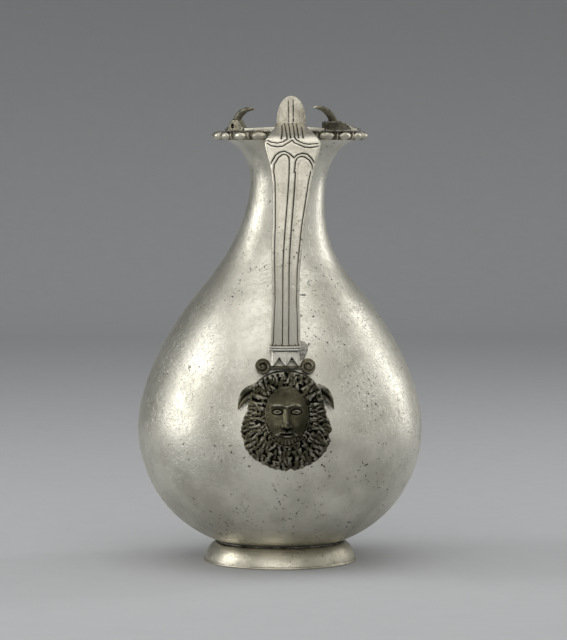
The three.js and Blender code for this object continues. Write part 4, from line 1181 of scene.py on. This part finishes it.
mask_angles = np.linspace(0, 2 * math.pi, MASK_SPOKES, endpoint=False)
ragged_edge = np.array([raggedness(angle) for angle in mask_angles])


def relief_ring(share, raised):
    """A ring of points over the mask's relief (raised 1) or on its flat back (raised 0)."""
    reach = share * mask_radius(np.abs(np.arctan2(np.sin(mask_angles), np.cos(mask_angles))))
    reach = reach * (1 - RAGGED_EDGE * ragged_edge * share**2)
    u, v = reach * np.sin(mask_angles), reach * np.cos(mask_angles)
    out = mask_back + raised * mask_rise(share, mask_angles, u, v)
    x, y, z = on_body(u, MASK_HEIGHT + v, out)
    return list(zip(x.tolist(), y.tolist(), z.tolist()))


BACK_SHARES = (1, 0.8, 0.5, 0.2)
mask_back = SEAM + SOLDER + SEAM
mask_front = [relief_ring((i + 1) / MASK_RINGS, 1) for i in range(MASK_RINGS)]
mask_behind = [relief_ring(share, 0) for share in BACK_SHARES]
zero = np.zeros(1)
nose_top = float((mask_back + mask_rise(zero, zero, zero, zero))[0])
poles = [tuple(float(c) for c in on_body(0.0, MASK_HEIGHT, out)) for out in (nose_top, mask_back)]
mask_mesh = lofted("mask", [[poles[0]], *mask_front, *mask_behind, [poles[1]]])
EAR_ROOT = (12.5, 14.6)
EAR_TIP = (22.0, 5.0)
EAR_ARCH = (1.6, 1.2)
EAR_STAND = (2.52, 0.8)
EAR_HALF_WIDTH = 3.2
EAR_HALF_DEPTH = 1.4
EAR_SLIT = 1.1
EAR_SLIT_WIDTH = 0.5
EAR_TURN = math.atan2(EAR_ROOT[1] - EAR_TIP[1], EAR_TIP[0] - EAR_ROOT[0])
EAR_ROWS = 28
EAR_SIDES = 36


def ear_mesh(side):
    """A pointed ear from the hair outwards and down, with a slit along its front."""
    sections = []
    for i in range(EAR_ROWS):
        share = i / (EAR_ROWS - 1)
        arch = math.sin(share * math.pi)
        across = lerp(EAR_ROOT[0], EAR_TIP[0], share) + EAR_ARCH[0] * arch
        up = lerp(EAR_ROOT[1], EAR_TIP[1], share) + EAR_ARCH[1] * arch
        out = lerp(mask_back + EAR_STAND[0], mask_back + EAR_STAND[1], share)
        taper = 0.12 + 0.88 * math.sin((0.25 + 0.75 * (1 - share)) * math.pi / 2) * (1 - share**3)
        section = []
        for angle in angles_round(EAR_SIDES):
            beside = EAR_HALF_WIDTH * taper * math.cos(angle)
            raised = EAR_HALF_DEPTH * taper * math.sin(angle)
            if math.sin(angle) > 0:
                raised -= EAR_SLIT * taper * float(bell(math.cos(angle) / EAR_SLIT_WIDTH))
            place = on_body(
                side * (across + beside * math.sin(EAR_TURN)),
                MASK_HEIGHT + up + beside * math.cos(EAR_TURN),
                out + raised,
            )
            section.append(tuple(float(c) for c in place))
        sections.append(section)
    return lofted("ear", with_poles(sections))


mask_material = silver_material(
    "dark_mask", metal=(88, 84, 67), cloud=(44, 43, 32), dark=(14, 13, 8), spots=1.0, scratches=0.7,
    pits=1.2, grain=0.9, roughness=(0.26, 0.5), bump=0.09,
)
mask = made_piece("bearded_mask", [mask_mesh, ear_mesh(1), ear_mesh(-1)])
finished(mask, mask_material, "mask", full=0.1)

# The table: a pale paper sweep that rises behind the piece, soft lights at both sides, above and in
# front, and a long lens at the photograph's height. Its sizes are in metres.
SWEEP_HALF_WIDTH = 7.0
SWEEP_START = -7.0
SWEEP_BEND = 1.7
SWEEP_RADIUS = 1.0
SWEEP_TOP = 5.0
SWEEP_STEPS = 40
# Painted shade: the paper's colour is lighter near the front and darker towards the back and higher up,
# for the light falling off there.
PAPER_NEAR_LIT = shade(188, 189, 191)
PAPER_FAR_SHADED = shade(176, 177, 180)
PAPER_HIGH_SHADED = shade(142, 144, 146)
PAPER_FIBRE = shade(120, 120, 120)
sweep_line = [(SWEEP_START, 0.0), (SWEEP_BEND, 0.0)]
for i in range(1, SWEEP_STEPS + 1):
    turn = math.pi / 2 * i / SWEEP_STEPS
    sweep_line.append(
        (SWEEP_BEND + SWEEP_RADIUS * math.sin(turn), SWEEP_RADIUS * (1 - math.cos(turn)))
    )
sweep_line.append((SWEEP_BEND + SWEEP_RADIUS, SWEEP_TOP))
sweep_mesh = bpy.data.meshes.new("sweep")
sweep_mesh.from_pydata(
    [(x, y, z) for y, z in sweep_line for x in (-SWEEP_HALF_WIDTH, SWEEP_HALF_WIDTH)],
    [],
    [(2 * i, 2 * i + 1, 2 * i + 3, 2 * i + 2) for i in range(len(sweep_line) - 1)],
)
sweep = shown_object("sweep", sweep_mesh)
sweep_mesh.shade_smooth()
sweep_material = bpy.data.materials.new("paper_sweep")
sweep_material.use_nodes = True
tree = sweep_material.node_tree
paper = tree.nodes["Principled BSDF"]
paper.inputs["Roughness"].default_value = 0.9
where = tree.nodes.new("ShaderNodeTexCoord").outputs["Object"]
apart = added(tree, "ShaderNodeSeparateXYZ", {"Vector": where})
risen = product(tree, apart.outputs["Z"], 1.5)
away = calculated(tree, "ADD", apart.outputs["Y"], risen)
# Painted shade: darker with distance back and again with height.
tone = mixed(tree, ranged(tree, away, start=-0.35, end=1.7), PAPER_NEAR_LIT, PAPER_FAR_SHADED)
tone = mixed(tree, ranged(tree, apart.outputs["Z"], start=-0.12, end=0.5), tone, PAPER_HIGH_SHADED)
fibre = patches(tree, where, scale=60.0, start=0.3, end=0.7, detail=3.0, high=0.04)
tree.links.new(mixed(tree, fibre, tone, PAPER_FIBRE), paper.inputs["Base Color"])
sweep_mesh.materials.append(sweep_material)

# Lights: name, place, height of what it is turned to, width, height and power.
LIGHTS = (
    ("left_light", (-1.2, 0.0, 0.5), 0.1, 0.55, 1.1, 5.2),
    ("right_light", (1.0, 0.5, 0.5), 0.1, 0.3, 1.0, 3),
    ("top_light", (0.0, -0.3, 1.4), 0.1, 1.6, 1.4, 7),
    ("front_light", (-0.15, -2.2, 0.7), 0.12, 2.4, 1.4, 9),
)
ROOM_COLOUR = shade(178, 178, 176)
ROOM_STRENGTH = 1.2
for name, place, aimed, wide, high, power in LIGHTS:
    lamp = bpy.data.lights.new(name, "AREA")
    lamp.shape = "RECTANGLE"
    lamp.size = wide
    lamp.size_y = high
    lamp.energy = power
    light = shown_object(name, lamp)
    light.location = place
    light.rotation_mode = "QUATERNION"
    light.rotation_quaternion = (Vector((0, 0, aimed)) - Vector(place)).to_track_quat("-Z", "Y")
world = bpy.data.worlds.new("room")
world.use_nodes = True
bpy.context.scene.world = world
world.node_tree.nodes["Background"].inputs["Color"].default_value = ROOM_COLOUR
world.node_tree.nodes["Background"].inputs["Strength"].default_value = ROOM_STRENGTH

CAMERA_AWAY = 1.44
CAMERA_HEIGHT = 0.2
CAMERA_TURN = math.radians(-2.5)
AIM_HEIGHT = 0.117
AIM_ASIDE = 0.0017
FIELD_HEIGHT = 0.3107
axis = Vector((AXIS[0] * MM, AXIS[1] * MM, 0))
aim = axis + Vector((AIM_ASIDE, 0, AIM_HEIGHT))
lens = bpy.data.cameras.new("camera")
camera = shown_object("camera", lens)
camera.location = axis + Vector(
    (
        AIM_ASIDE + CAMERA_AWAY * math.sin(CAMERA_TURN),
        -CAMERA_AWAY * math.cos(CAMERA_TURN),
        CAMERA_HEIGHT,
    )
)
camera.rotation_mode = "QUATERNION"
camera.rotation_quaternion = (aim - camera.location).to_track_quat("-Z", "Y")
lens.lens = lens.sensor_width * (aim - camera.location).length / FIELD_HEIGHT
bpy.context.scene.camera = camera
bpy.context.scene.view_settings.view_transform = "Standard"
